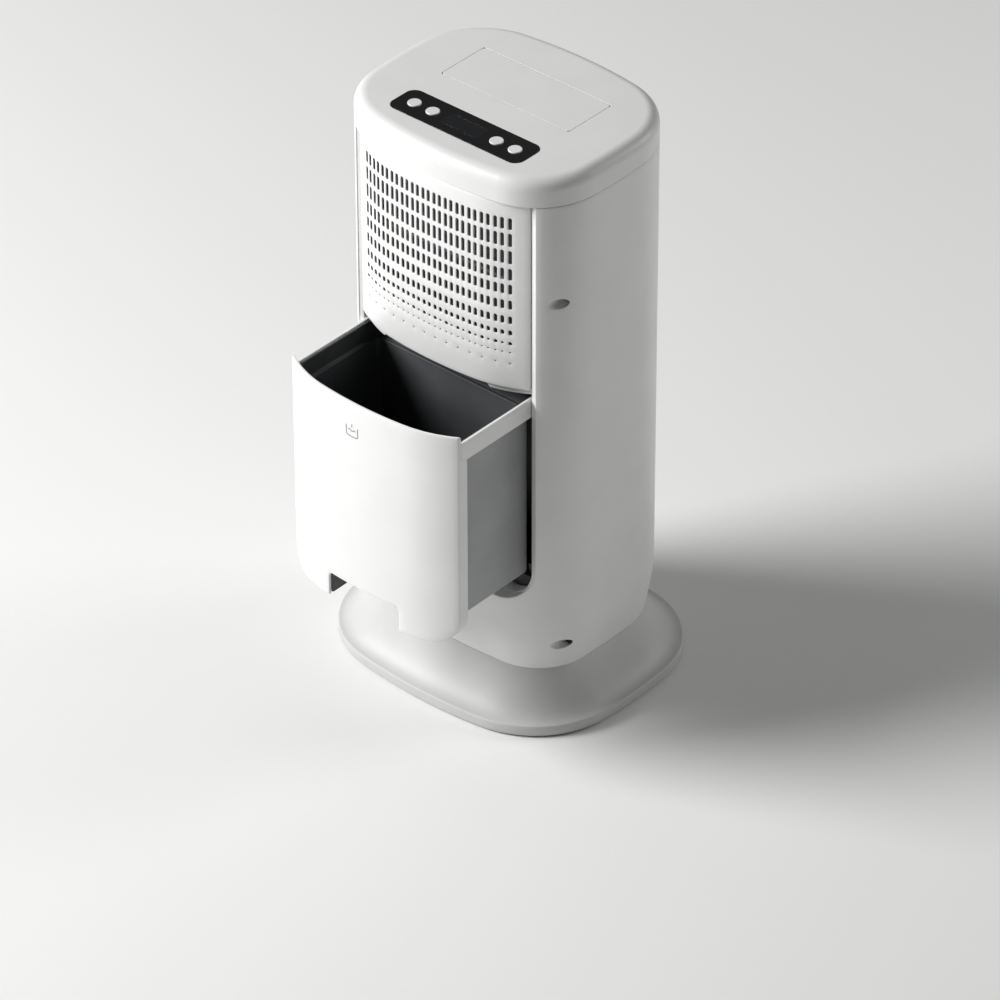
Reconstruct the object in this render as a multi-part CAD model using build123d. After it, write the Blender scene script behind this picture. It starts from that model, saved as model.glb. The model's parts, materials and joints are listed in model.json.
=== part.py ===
from build123d import *
from math import asin, atan2, cos, pi, sin, sqrt
import os

os.makedirs("parts", exist_ok=True)

# A slim floor-standing dehumidifier on a wide flared base, with its water bucket drawn out.
# Millimetres. The origin is on the floor under the middle of the base; +Z is up, the front
# faces -Y and +X is the machine's right-hand side as a person sees it from the front.

# ------------------------------------------------------------------ driving dimensions
HEIGHT = 600.0
BODY_HALF_W = 134.3          # half width of the casing
BODY_HALF_D = 106.1          # half depth of the casing
# radii of the arcs that round a quarter of an outline: across the end, down the side, at the corner
BODY_FRONT_RADII = (758.0, 720.0, 67.0)
BODY_BACK_RADII = (456.0, 455.0, 79.0)
COVER_FRONT_RADII = (430.0, 720.0, 70.0)
COVER_BULGE = 4.4            # the top cover's front stands out as far as the grille's crown
BASE_RADII = (530.0, 500.0, 97.0)
WALL = 3.5                   # moulded casing wall
SEAM = 0.3                   # gap between two casing mouldings
CLEAR = 0.4                  # gap between neighbouring inner parts

BASE_HALF_W = 158.5
BASE_HALF_D = 134.5
FOOT_H = 2.0                 # rubber pads under the base
FOOT_X = 114.5
FOOT_Y = 95.5
BASE_EDGE_TOP = 13.0         # top of the base's upright edge
BODY_BOTTOM = 57.0           # where the flare meets the casing
BODY_TUCK = 8.0              # how far the casing draws in at its foot
TUCK_TOP = 125.0             # height where the drawing-in starts
TOP_SEAM = 572.0             # joint between the casing and the top cover
TOP_ROUND = 12.0
REAR_SEAM_Y = 82.0           # joint between the wrap-around casing and the rear cover

RIM_Y = -89.0                # flat front rim of the casing
OPENING_HALF_W = 107.6
OPENING_BOTTOM = 138.0
OPENING_CORNER = 34.0

PANEL_HALF_W = 101.5         # front grille and bucket front
PANEL_T = 3.0
CROWN_Y = -110.35            # most forward line of the crowned front
CROWN_R = 430.0              # middle arc of the crown
SHOULDER_R = 123.0           # arcs at its two sides
CROWN_HALF = 50.0            # where the middle arc hands over to the side arcs

PULL = 96.7                  # how far the bucket is drawn out
BUCKET_BOTTOM = 139.5
BUCKET_TOP = 371.3
BUCKET_CORNER = 28.0
NOTCH_HALF_W = 43.0
NOTCH_TOP = 166.0
RAIL_BOTTOM = 342.5
RAIL_TOP = 363.0
RAIL_HALF_W = 101.3
RETURN_DEPTH = 9.7
TANK_BOTTOM = 163.0
TANK_WALL = 2.5
TANK_HALF_W = 93.0
TANK_BACK = 19.0
TANK_TOP = 361.5
TANK_RIM_HALF_W = 98.1
TANK_RIM_BACK = 23.3

GRILLE_BOTTOM = 373.3
SLOT_W = 3.6
SLOT_PITCH = 13.16           # from one column pair to the next
SLOT_PAIR = 6.9              # between the two columns of a pair
SLOT_PAIRS = 14
FIRST_ROW = 400.3
# rise above the first row and length of the slot, for the columns A and B of each pair
SLOT_ROWS = (
    (0.0, 0.0, 1.8), (12.0, 1.8, 1.8), (21.6, 2.6, 3.8), (33.1, 5.2, 5.6), (46.8, 8.4, 8.4),
    (63.2, 9.9, 9.9), (79.8, 10.8, 10.8), (95.7, 12.6, 12.6), (114.0, 14.3, 14.3),
    (132.3, 14.3, 14.3), (149.6, 12.6, 12.6),
)

SHELF_Z = 367.5              # deck above the bucket bay
SHELF_T = 3.0
BAY_HALF_W = 102.6
BAY_FLOOR = 154.0
BAY_BACK = 27.0
BAY_T = 2.4

COIL_HALF_W = 88.0
COIL_BOTTOM = 394.0
COIL_TOP = 556.0
COIL_DEPTH = 22.0
EVAPORATOR_Y = -74.0
CONDENSER_Y = -46.0
COIL_TUBE_R = 4.0
COIL_ROWS = 6

COMPRESSOR_R = 34.0
COMPRESSOR_Y = 64.2

FAN_Z = 468.0
FAN_R = 68.0
FAN_Y = -3.0                 # front of the impeller
FAN_W = 44.0
SCROLL_R = 80.0
SCROLL_FRONT = -9.0
SCROLL_BACK = 54.0
SHAFT_R = 4.0

SCREW_X = 121.6              # screws through the casing's two front shoulders
SCREW_HEIGHTS = (86.5, 468.0)
SCREW_RECESS_R = 5.4

FLAP_HALF_W = 75.8
FLAP_FRONT = -6.6
FLAP_BACK = 51.5
FLAP_AXIS_Y = 50.0
FLAP_AXIS_Z = 598.5
FLAP_T = 3.0

FASCIA_HALF_W = 78.0
FASCIA_FRONT = -80.0
FASCIA_BACK = -42.0
BUTTON_X = {"power": -60.0, "mode": -38.0, "fan_speed": 38.0, "timer": 60.0}
BUTTON_Y = -61.0
BUTTON_R = 6.6

DRAIN_X = -45.0
DRAIN_Z = 300.0
INLET_X = 58.0
INLET_Z = 104.0

parts = {}


# ------------------------------------------------------------------ helpers
def box(x0, x1, y0, y1, z0, z1):
    """A block given by two opposite corners."""
    middle = Pos((x0 + x1) / 2, (y0 + y1) / 2, (z0 + z1) / 2)
    return middle * Box(abs(x1 - x0), abs(y1 - y0), abs(z1 - z0))


def rod(axis, radius, start, end, a, b):
    """A cylinder along X, Y or Z from start to end; a and b are its other two coordinates."""
    length = abs(end - start)
    middle = (start + end) / 2
    if axis == "X":
        return Pos(middle, a, b) * Rot(0, 90, 0) * Cylinder(radius, length)
    if axis == "Y":
        return Pos(a, middle, b) * Rot(90, 0, 0) * Cylinder(radius, length)
    return Pos(a, b, middle) * Cylinder(radius, length)


def quarter(half_w, half_d, radii):
    """Arc joints of a rounded outline's quarter: side centre line, side arc's middle and end, and so on."""
    end_r, side_r, corner_r = radii
    end_y = half_d - end_r
    side_x = half_w - side_r
    to_end = end_r - corner_r
    to_side = side_r - corner_r
    apart = sqrt(side_x ** 2 + end_y ** 2)
    along = (to_end ** 2 - to_side ** 2 + apart ** 2) / (2 * apart)
    across = sqrt(to_end ** 2 - along ** 2)
    corner_x = (side_x * along - end_y * across) / apart
    corner_y = end_y + (-end_y * along - side_x * across) / apart
    side_turn = atan2(corner_y, corner_x - side_x)
    end_turn = atan2(corner_y - end_y, corner_x)

    def on(x, y, radius, turn):
        return (x + radius * cos(turn), y + radius * sin(turn))

    return [
        (half_w, 0.0),
        on(side_x, 0, side_r, side_turn / 2),
        on(side_x, 0, side_r, side_turn),
        on(corner_x, corner_y, corner_r, (side_turn + end_turn) / 2),
        on(0, end_y, end_r, end_turn),
        on(0, end_y, end_r, (end_turn + pi / 2) / 2),
        (0.0, half_d),
    ]


def outline(half_w, half_d, front, back, inset, z, bulge=0.0):
    """Rounded outline of tangent arcs, with its own radii in front and behind, moved in by inset.

    The front half can stand further out by bulge."""
    edges = []
    for sx, sy, radii in ((1, 1, back), (-1, 1, back), (-1, -1, front), (1, -1, front)):
        depth = half_d - inset + (bulge if sy < 0 else 0)
        flat = quarter(half_w - inset, depth, [r - inset for r in radii])
        points = [(sx * x, sy * y, z) for x, y in flat]
        edges += [ThreePointArc(*points[i:i + 3]) for i in (0, 2, 4)]
    return make_face(Curve() + edges)


def tuck(z):
    """How far the casing's wall is drawn in at height z, a long arc near its foot."""
    if z >= TUCK_TOP:
        return 0.0
    return BODY_TUCK * ((TUCK_TOP - z) / (TUCK_TOP - BODY_BOTTOM)) ** 2


def body_solid(inset, z0, z1):
    """The casing's volume between two heights, moved in by inset."""
    levels = [z0]
    if z0 < TUCK_TOP:
        low_top = min(z1, TUCK_TOP)
        bands = 4
        levels = [z0 + (low_top - z0) * i / bands for i in range(bands + 1)]
    if z1 > TUCK_TOP:
        levels.append(z1)
    sections = [
        outline(BODY_HALF_W, BODY_HALF_D, BODY_FRONT_RADII, BODY_BACK_RADII, inset + tuck(z), z)
        for z in levels
    ]
    if len(levels) == 2 and z0 >= TUCK_TOP:
        return extrude(sections[0], amount=z1 - z0, dir=(0, 0, 1))
    return loft(sections, ruled=True)


def front_curve(inset, half_w, z):
    """The crowned front line as three tangent arcs, moved in by inset, from left to right."""
    turn = asin(CROWN_HALF / CROWN_R)
    mid_y = CROWN_Y + CROWN_R
    side_x = (CROWN_R - SHOULDER_R) * sin(turn)
    side_y = mid_y - (CROWN_R - SHOULDER_R) * cos(turn)
    side_r = SHOULDER_R - inset
    end = asin((half_w - side_x) / side_r)

    def shoulder(sign, angle):
        return (sign * (side_x + side_r * sin(angle)), side_y - side_r * cos(angle), z)

    middle = (0, CROWN_Y + inset, z)
    half = (turn + end) / 2
    return [
        ThreePointArc(shoulder(-1, end), shoulder(-1, half), shoulder(-1, turn)),
        ThreePointArc(shoulder(-1, turn), middle, shoulder(1, turn)),
        ThreePointArc(shoulder(1, turn), shoulder(1, half), shoulder(1, end)),
    ]


def front_plate(inset_out, inset_in, half_w, z0, z1):
    """An upright plate that follows the crowned front between two insets."""
    outer = front_curve(inset_out, half_w, z0)
    inner = front_curve(inset_in, half_w, z0)
    ends = [Line(outer[0] @ 0, inner[0] @ 0), Line(outer[2] @ 1, inner[2] @ 1)]
    return extrude(make_face(Curve() + outer + inner + ends), amount=z1 - z0, dir=(0, 0, 1))


def front_block(inset, half_w, back_y, z0, z1, corner=0.0):
    """A block with the crowned front, straight sides and a flat back."""
    curve = front_curve(inset, half_w, z0)
    left = (-half_w, back_y, z0)
    right = (half_w, back_y, z0)
    ends = [Line(curve[0] @ 0, left), Line(left, right), Line(right, curve[2] @ 1)]
    plan = make_face(Curve() + curve + ends)
    solid = extrude(plan, amount=z1 - z0, dir=(0, 0, 1))
    if corner:
        upright = solid.edges().filter_by(Axis.Z).group_by(Axis.Y)[-1]
        solid = fillet(upright, corner)
    return solid


def rounded_plate(x0, x1, y0, y1, z0, z1, corner):
    """A flat plate with rounded upright corners."""
    plan = Pos((x0 + x1) / 2, (y0 + y1) / 2, z0) * RectangleRounded(x1 - x0, y1 - y0, corner)
    return extrude(plan, amount=z1 - z0, dir=(0, 0, 1))


def front_prism(half_w, z0, z1, corner, y0, y1):
    """A prism along Y whose face has round lower corners and square upper ones."""
    solid = box(-half_w, half_w, y0, y1, z0, z1)
    low = solid.edges().filter_by(Axis.Y).group_by(Axis.Z)[0]
    return fillet(low, corner)


# ------------------------------------------------------------------ base
def make_base():
    def section(half_w, half_d, way, z):
        radii = [a + (b - a) * way for a, b in zip(BASE_RADII, BODY_FRONT_RADII)]
        back = [a + (b - a) * way for a, b in zip(BASE_RADII, BODY_BACK_RADII)]
        return outline(half_w, half_d, radii, back, 0, z)

    plate = extrude(section(BASE_HALF_W, BASE_HALF_D, 0, FOOT_H), amount=BASE_EDGE_TOP - FOOT_H, dir=(0, 0, 1))
    top_w = BODY_HALF_W - BODY_TUCK
    top_d = BODY_HALF_D - BODY_TUCK
    sections = []
    levels = 6
    for i in range(levels + 1):
        way = i / levels
        half_w = BASE_HALF_W + (top_w - BASE_HALF_W) * way
        half_d = BASE_HALF_D + (top_d - BASE_HALF_D) * way
        z = BASE_EDGE_TOP + (BODY_BOTTOM - BASE_EDGE_TOP) * way ** 2
        sections.append(section(half_w, half_d, way, z))
    flare = loft(sections, ruled=True)
    hollow = loft([section(132, 108, 0, FOOT_H - 1), section(112, 84, 0.8, 53)], ruled=True)
    base = plate + flare - hollow
    feet = []
    screws = []
    for sx in (-1, 1):
        for sy in (-1, 1):
            feet.append(rod("Z", 10, 0, FOOT_H, sx * FOOT_X, sy * FOOT_Y))
            x = sx * 80
            y = sy * 55
            base -= rod("Z", 2.3, 52, BODY_BOTTOM + 1, x, y)
            screws.append(rod("Z", 2.0, 53, 66, x, y) + rod("Z", 4.2, 50, 53, x, y))
    parts["base_plate"] = base
    parts["base_feet"] = Compound(children=feet)
    parts["base_screws"] = Compound(children=screws)


# ------------------------------------------------------------------ casing
def make_casing():
    bottom = BODY_BOTTOM + SEAM
    outer = body_solid(0, bottom, TOP_SEAM - SEAM)
    inner = body_solid(WALL, bottom - 1, TOP_SEAM + 1)
    core = body_solid(WALL / 2, bottom, TOP_SEAM - SEAM)
    wall = outer - inner
    opening = front_prism(OPENING_HALF_W, OPENING_BOTTOM, HEIGHT + 60, OPENING_CORNER, -150, RIM_Y)

    shell = wall - box(-200, 200, REAR_SEAM_Y - SEAM / 2, 200, 0, HEIGHT)
    bosses = []
    recesses = []
    screws = []
    for sx in (-1, 1):
        x = sx * SCREW_X
        for z in SCREW_HEIGHTS:
            bosses.append(rod("Y", 8.4, -84, -55, x, z))
            recesses.append(rod("Y", SCREW_RECESS_R, -100, -63, x, z))
            recesses.append(rod("Y", 2.2, -64, -50, x, z))
            screws.append(rod("Y", 4.4, -66, -63, x, z) + rod("Y", 2.0, -63, -46, x, z))
        for z in (90, 545):
            lug = box(sx * 82, sx * 112, 72, REAR_SEAM_Y - SEAM, z - 7, z + 7) & core
            shell += lug
            recesses.append(rod("Y", 1.9, 70, 83, sx * 90, z))
    for boss in bosses:
        shell += boss & core
    for recess in recesses:
        shell -= recess
    mouth = front_prism(PANEL_HALF_W + 0.9, OPENING_BOTTOM + 3, HEIGHT + 60, OPENING_CORNER - 4, -150, -76)
    parts["outer_shell"] = shell - opening - mouth
    parts["shell_screws"] = Compound(children=screws)

    rear = wall & box(-200, 200, REAR_SEAM_Y + SEAM / 2, 200, 0, HEIGHT)
    rear_screws = []
    for sx in (-1, 1):
        for z in (90, 545):
            boss = rod("Y", 6.5, REAR_SEAM_Y + SEAM, 95, sx * 90, z) & core
            rear = rear + boss - rod("Y", 4.6, 87, 110, sx * 90, z) - rod("Y", 2.1, 80, 90, sx * 90, z)
            rear_screws.append(rod("Y", 4.2, 87, 90, sx * 90, z) + rod("Y", 1.8, 72, 87, sx * 90, z))
    for i in range(9):
        z = 120 + 11 * i
        rear -= rounded_slot(-58, 22, z)
    rear -= rod("Y", 10.2, 90, 110, DRAIN_X, DRAIN_Z)
    rear -= box(INLET_X - 14.2, INLET_X + 14.2, 80, 120, INLET_Z - 10.2, INLET_Z + 10.2)
    parts["rear_cover"] = rear
    parts["rear_screws"] = Compound(children=rear_screws)


def rounded_slot(x0, x1, z):
    """A level vent slot through the rear cover."""
    slot = box(x0, x1, 90, 115, z - 1.8, z + 1.8)
    return slot + rod("Y", 1.8, 90, 115, x0, z) + rod("Y", 1.8, 90, 115, x1, z)


def cover_block(inset, z0, z1):
    """The top cover's volume, whose front follows the grille's crown."""
    plan = outline(BODY_HALF_W, BODY_HALF_D, COVER_FRONT_RADII, BODY_BACK_RADII, inset, z0, COVER_BULGE)
    return extrude(plan, amount=z1 - z0, dir=(0, 0, 1))


def make_top():
    bottom = TOP_SEAM + SEAM
    outer = cover_block(0, bottom, HEIGHT)
    rim = outer.edges().group_by(Axis.Z)[-1]
    outer = fillet(rim, TOP_ROUND)
    inner = cover_block(WALL, bottom - 1, HEIGHT - WALL)
    inner = fillet(inner.edges().group_by(Axis.Z)[-1], TOP_ROUND - WALL)
    cover = outer - inner
    cover -= rounded_plate(-76.5, 76.5, FLAP_FRONT - 0.7, FLAP_BACK + 1.2, HEIGHT - 10, HEIGHT + 5, 2)
    cover -= rounded_plate(-FASCIA_HALF_W - 0.2, FASCIA_HALF_W + 0.2, FASCIA_FRONT - 0.2, FASCIA_BACK + 0.2,
                           HEIGHT - 2.2, HEIGHT + 5, 10.2)
    fascia = rounded_plate(-FASCIA_HALF_W, FASCIA_HALF_W, FASCIA_FRONT, FASCIA_BACK, HEIGHT - 2.2, HEIGHT + 0.3, 10)
    window = rounded_plate(-22, 22, -70, -52, HEIGHT - 0.9, HEIGHT + 0.3, 3)
    fascia -= window
    board = box(-74, 74, -78, -46, 588, 589.6)
    for name, x in BUTTON_X.items():
        hole = rod("Z", BUTTON_R + 0.4, HEIGHT - 8, HEIGHT + 4, x, BUTTON_Y)
        cover -= hole
        fascia -= hole
        cap = rod("Z", BUTTON_R, 594, HEIGHT + 1.3, x, BUTTON_Y)
        cap = fillet(cap.edges().group_by(Axis.Z)[-1], 0.8)
        flange = rod("Z", 8.6, 593.6, 595.9, x, BUTTON_Y)
        parts["button_" + name] = cap + flange
        board += box(x - 3, x + 3, BUTTON_Y - 3, BUTTON_Y + 3, 589.6, 592.2)
    for sx in (-1, 1):
        cover -= rod("X", 1.16, sx * 74, sx * 80, FLAP_AXIS_Y, FLAP_AXIS_Z)
    parts["top_cover"] = cover
    parts["control_fascia"] = fascia
    parts["display_window"] = window
    parts["control_board"] = board

    flap = rounded_plate(-FLAP_HALF_W, FLAP_HALF_W, FLAP_FRONT, FLAP_BACK, HEIGHT - FLAP_T, HEIGHT, 3)
    for i in range(3):
        x = -50 + 50 * i
        flap += box(x - 1, x + 1, FLAP_FRONT + 6, FLAP_AXIS_Y - 8, HEIGHT - FLAP_T - 4, HEIGHT - FLAP_T + 1)
    flap += rod("X", 1.1, -79.5, 79.5, FLAP_AXIS_Y, FLAP_AXIS_Z)
    parts["outlet_flap"] = flap

    collar = box(-79, 79, SCROLL_FRONT, 54.5, 573, 592) - box(-76.5, 76.5, SCROLL_FRONT + 2.2, 52.3, 572, 593)
    for i in range(9):
        x = -64 + 16 * i
        collar += box(x - 1, x + 1, SCROLL_FRONT + 1, 53, 576, 586)
    parts["outlet_guard"] = collar


# ------------------------------------------------------------------ front grille and filter
def slot_prism(x, z, length):
    """One upright round-ended slot, or a round hole where it is no longer than wide."""
    width = min(SLOT_W, length)
    if length <= width:
        return rod("Y", width / 2, -125, -75, x, z)
    plan = Plane.XZ * Pos(x, z) * SlotOverall(length, width, rotation=90)
    return Pos(0, -75, 0) * extrude(plan, amount=50)


def make_grille():
    panel = front_plate(0, PANEL_T, PANEL_HALF_W, GRILLE_BOTTOM, TOP_SEAM - SEAM)
    holes = []
    for pair in range(SLOT_PAIRS):
        x = (pair - (SLOT_PAIRS - 1) / 2) * SLOT_PITCH
        for rise, length_a, length_b in SLOT_ROWS:
            z = FIRST_ROW + rise
            holes.append(slot_prism(x, z, length_b))
            if pair > 0 and length_a:
                holes.append(slot_prism(x - SLOT_PAIR, z, length_a))
    panel -= holes
    tabs = front_plate(PANEL_T + 0.9, PANEL_T + 3.4, PANEL_HALF_W - 0.4, GRILLE_BOTTOM - 6.3, GRILLE_BOTTOM + 8)
    gap = Plane.XZ * Polyline((-58, GRILLE_BOTTOM + 9), (58, GRILLE_BOTTOM + 9), (58, GRILLE_BOTTOM + 1),
                              (64, GRILLE_BOTTOM - 7), (-64, GRILLE_BOTTOM - 7), (-58, GRILLE_BOTTOM + 1), close=True)
    tabs -= Pos(0, -70, 0) * extrude(make_face(gap), amount=60)
    bridge = front_plate(PANEL_T - 1, PANEL_T + 2, PANEL_HALF_W - 0.4, GRILLE_BOTTOM + 3, GRILLE_BOTTOM + 8)
    grille = panel + tabs + (bridge & (box(-200, -66, -150, 0, 300, 600) + box(66, 200, -150, 0, 300, 600)))
    for sx in (-1, 1):
        for z in (392, 560):
            grille += rod("Y", 3.5, -96, -84.2, sx * 88.5, z) & front_block(1, PANEL_HALF_W, -84.2, 380, 570)
    parts["front_grille"] = grille

    frame = box(-94, 94, -84, -79.5, 386, 566) - box(-86, 86, -90, -70, 394, 558)
    for x in (-29, 29):
        frame += box(x - 1.5, x + 1.5, -82.5, -81, 390, 562)
    frame += box(-90, 90, -82.5, -81, 474.5, 477.5)
    parts["filter_frame"] = frame
    mesh = []
    for x0, x1 in ((-86, -30.5), (-27.5, 27.5), (30.5, 86)):
        for z0, z1 in ((394, 474.5), (477.5, 558)):
            mesh.append(box(x0, x1, -82.2, -81.4, z0, z1))
    parts["filter_mesh"] = Compound(children=mesh)


# ------------------------------------------------------------------ bucket, drawn out by PULL
def make_bucket():
    out = Pos(0, -PULL, 0)
    face = front_prism(PANEL_HALF_W, BUCKET_BOTTOM, BUCKET_TOP, BUCKET_CORNER, -150, -50)
    inner_face = front_prism(PANEL_HALF_W - PANEL_T, BUCKET_BOTTOM + PANEL_T, HEIGHT, BUCKET_CORNER - PANEL_T,
                             -160, -40)
    notch = box(-NOTCH_HALF_W, NOTCH_HALF_W, -150, -50, BUCKET_BOTTOM - 20, NOTCH_TOP)
    notch = fillet(notch.edges().filter_by(Axis.Y).group_by(Axis.Z)[-1], 5)
    tray = front_plate(0, RETURN_DEPTH, PANEL_HALF_W + 2, BUCKET_BOTTOM - 2, BUCKET_TOP + 2) & face
    hollow = front_plate(PANEL_T, RETURN_DEPTH + 4, PANEL_HALF_W + 2, BUCKET_BOTTOM - 2, HEIGHT) & inner_face
    rail_space = front_plate(PANEL_T, RETURN_DEPTH + 4, PANEL_HALF_W + 2, RAIL_BOTTOM - 0.2, BUCKET_TOP + 2)
    parts["bucket_front"] = out * (tray - hollow - rail_space - notch)

    upper = front_block(PANEL_T + 0.2, TANK_RIM_HALF_W, TANK_RIM_BACK, RAIL_BOTTOM - 2, TANK_TOP, 6)
    upper -= front_block(PANEL_T + 0.2 + TANK_WALL, TANK_RIM_HALF_W - TANK_WALL, TANK_RIM_BACK - TANK_WALL,
                         RAIL_BOTTOM + 0.5, TANK_TOP + 1, 4)
    lower = front_block(6, TANK_HALF_W, TANK_BACK, TANK_BOTTOM, RAIL_BOTTOM - 1, 8)
    lower = fillet(lower.edges().group_by(Axis.Z)[0], 3)
    hollow = front_block(6 + TANK_WALL, TANK_HALF_W - TANK_WALL, TANK_BACK - TANK_WALL,
                         TANK_BOTTOM + TANK_WALL, RAIL_BOTTOM + 5, 6)
    tank = upper + lower - hollow
    for x in (55, 85):
        lug = box(x - 1.3, x + 1.3, -5, TANK_BACK - 1, 172, 180)
        tank += lug - rod("X", 1.55, x - 3, x + 3, -1.5, 176)
    for sx in (-1, 1):
        edge = sx * (NOTCH_HALF_W + 2.2)
        tank += box(sx * NOTCH_HALF_W, edge, -104, -78, BUCKET_BOTTOM + PANEL_T + 0.6, TANK_BOTTOM + 1)
        tank += box(sx * NOTCH_HALF_W, edge, -97.6, -78, BUCKET_BOTTOM + 0.4, BUCKET_BOTTOM + PANEL_T + 1)
    parts["bucket_tank"] = out * tank

    rails = front_block(PANEL_T + 0.1, RAIL_HALF_W, TANK_RIM_BACK + 3.1, RAIL_BOTTOM, RAIL_TOP)
    rails -= front_block(PANEL_T - 5, TANK_RIM_HALF_W + 0.1, TANK_RIM_BACK + 0.1, RAIL_BOTTOM - 1, RAIL_TOP + 1)
    parts["bucket_frame"] = out * rails

    hub = rod("X", 4, 56.8, 83.2, -1.5, 176)
    block = fillet(box(58, 82, -36, -8, 167, 182).edges().filter_by(Axis.X), 3)
    arm = box(64, 76, -10, -1.5, 173, 179)
    pocket = rod("Z", 3.05, 178, 183, 70, -22)
    parts["float"] = out * (hub + block + arm - pocket - rod("X", 1.56, 50, 90, -1.5, 176))
    parts["float_magnet"] = out * rod("Z", 3.0, 178, 181.5, 70, -22)
    parts["float_pin"] = out * rod("X", 1.5, 53.8, 86.2, -1.5, 176)


# ------------------------------------------------------------------ bucket bay and chassis
def make_chassis():
    space = body_solid(WALL + CLEAR, BODY_BOTTOM, TOP_SEAM)
    pan = body_solid(WALL + 1.2, BODY_BOTTOM + SEAM, 60)
    for sx in (-1, 1):
        for sy in (-1, 1):
            pan += rod("Z", 5, 60, 67, sx * 80, sy * 55)
            pan -= rod("Z", 2.05, 50, 68, sx * 80, sy * 55)
    parts["base_pan"] = pan

    side = BAY_HALF_W + BAY_T
    step = box(-side, side, -104, -74, 134, 136.4)
    riser = box(-side, side, -74 - BAY_T, -74, 134, BAY_FLOOR)
    floor = box(-side, side, -74 - BAY_T, BAY_BACK + BAY_T, BAY_FLOOR - BAY_T, BAY_FLOOR)
    back = box(-side, side, BAY_BACK, BAY_BACK + BAY_T, BAY_FLOOR - 1, SHELF_Z - SEAM)
    liner = step + riser + floor + back
    for sx in (-1, 1):
        liner += box(sx * BAY_HALF_W, sx * side, -84, BAY_BACK + BAY_T, 134, SHELF_Z - SEAM)
    parts["bay_liner"] = liner & space

    runners = []
    for sx in (-1, 1):
        strip = box(sx * 88 - 4, sx * 88 + 4, -70, BAY_BACK - 2, BAY_FLOOR, TANK_BOTTOM - SEAM)
        runners.append(strip)
    parts["bay_runners"] = Compound(children=runners)

    shelf = body_solid(WALL + CLEAR, SHELF_Z, SHELF_Z + SHELF_T) - box(-200, 200, -200, -78.4, 300, 400)
    shelf -= rod("Z", 7, 360, 380, 0, -50)
    for sx in (-1, 1):
        shelf -= rod("Z", 6, 360, 380, sx * 20, 72)
    parts["chassis_shelf"] = shelf

    tray_z = SHELF_Z + SHELF_T
    tray = box(-97, 97, -78, -14, tray_z, tray_z + 19) - box(-95, 95, -76, -16, tray_z + 2, tray_z + 20)
    spout = rod("Z", 6.6, 364.4, tray_z + 2, 0, -50)
    parts["drip_tray"] = tray + spout - rod("Z", 4.6, 360, tray_z + 5, 0, -50)

    bulkhead = box(-103, 103, -12.4, -10, tray_z, 568) & space
    parts["fan_bulkhead"] = bulkhead - rod("Y", 60, -20, 0, 0, FAN_Z)

    shroud = box(-103, 103, -77.6, -12.8, 391.5, 564) - box(-101, 101, -80, -10, 393, 562)
    parts["coil_shroud"] = shroud & space


# ------------------------------------------------------------------ refrigerant circuit
def coil_heights():
    pitch = (COIL_TOP - COIL_BOTTOM) / COIL_ROWS
    return [COIL_BOTTOM + pitch * (i + 0.5) for i in range(COIL_ROWS)]


def make_coil(name, front_y):
    middle = front_y + COIL_DEPTH / 2
    fin = box(-0.4, 0.4, front_y, front_y + COIL_DEPTH, COIL_BOTTOM, COIL_TOP)
    for z in coil_heights():
        fin -= rod("X", COIL_TUBE_R, -2, 2, middle, z)
    fins = 36
    pitch = 2 * COIL_HALF_W / (fins - 1)
    plates = [Pos(-COIL_HALF_W + pitch * i, 0, 0) * fin for i in range(fins)]
    parts[name + "_fins"] = Compound(children=plates)

    run = COIL_HALF_W + 2
    heights = coil_heights()
    tubes = None
    bend_r = (heights[1] - heights[0]) / 2
    for i, z in enumerate(heights):
        tube = rod("X", COIL_TUBE_R - 0.06, -run, run, middle, z)
        tubes = tube if tubes is None else tubes + tube
        if i + 1 < len(heights):
            side = 1 if i % 2 else -1
            flat = 6.5
            path = FilletPolyline(
                (side * run, middle, z), (side * (run + flat), middle, z),
                (side * (run + flat), middle, z + 2 * bend_r), (side * run, middle, z + 2 * bend_r), radius=6)
            profile = Plane(path @ 0, z_dir=path % 0) * Circle(COIL_TUBE_R - 0.06)
            tubes += sweep(profile, path=path)
    parts[name + "_tubes"] = tubes


def make_pipe(name, points, radius, bend):
    path = FilletPolyline(*points, radius=bend)
    profile = Plane(path @ 0, z_dir=path % 0) * Circle(radius)
    parts[name] = sweep(profile, path=path)


def make_refrigeration():
    make_coil("evaporator", EVAPORATOR_Y)
    make_coil("condenser", CONDENSER_Y)
    can = rod("Z", COMPRESSOR_R, 74, 262, 0, COMPRESSOR_Y)
    can = fillet(can.edges().group_by(Axis.Z)[-1], 16)
    can = fillet(can.edges().group_by(Axis.Z)[0], 12)
    bracket = rod("Z", 30, 70, 74, 0, COMPRESSOR_Y)
    feet = []
    for x, y in ((-50, 60), (50, 60), (0, 12)):
        ear = rod("Z", 10, 70, 73, x, y)
        arm = box(min(x, 0) - 7, max(x, 0) + 7, min(y, COMPRESSOR_Y) - 7, max(y, COMPRESSOR_Y) + 7, 70, 73)
        bracket += arm + ear
        bracket -= rod("Z", 3.6, 60, 80, x, y)
        feet.append(rod("Z", 8.5, 60, 69.8, x, y) - rod("Z", 3.2, 58, 72, x, y))
    parts["compressor"] = can + bracket
    parts["compressor_feet"] = Compound(children=feet)
    parts["filter_drier"] = rod("Z", 9, 96, 168, -74, 44)
    make_pipe("discharge_pipe", [(20, 72, 263.5), (20, 72, 381), (108, 72, 381), (108, -35, 381)], 3.2, 8)
    make_pipe("suction_pipe", [(-20, 72, 263.5), (-20, 72, 381), (-108, 72, 381), (-108, -63, 381)], 4.2, 10)


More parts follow.
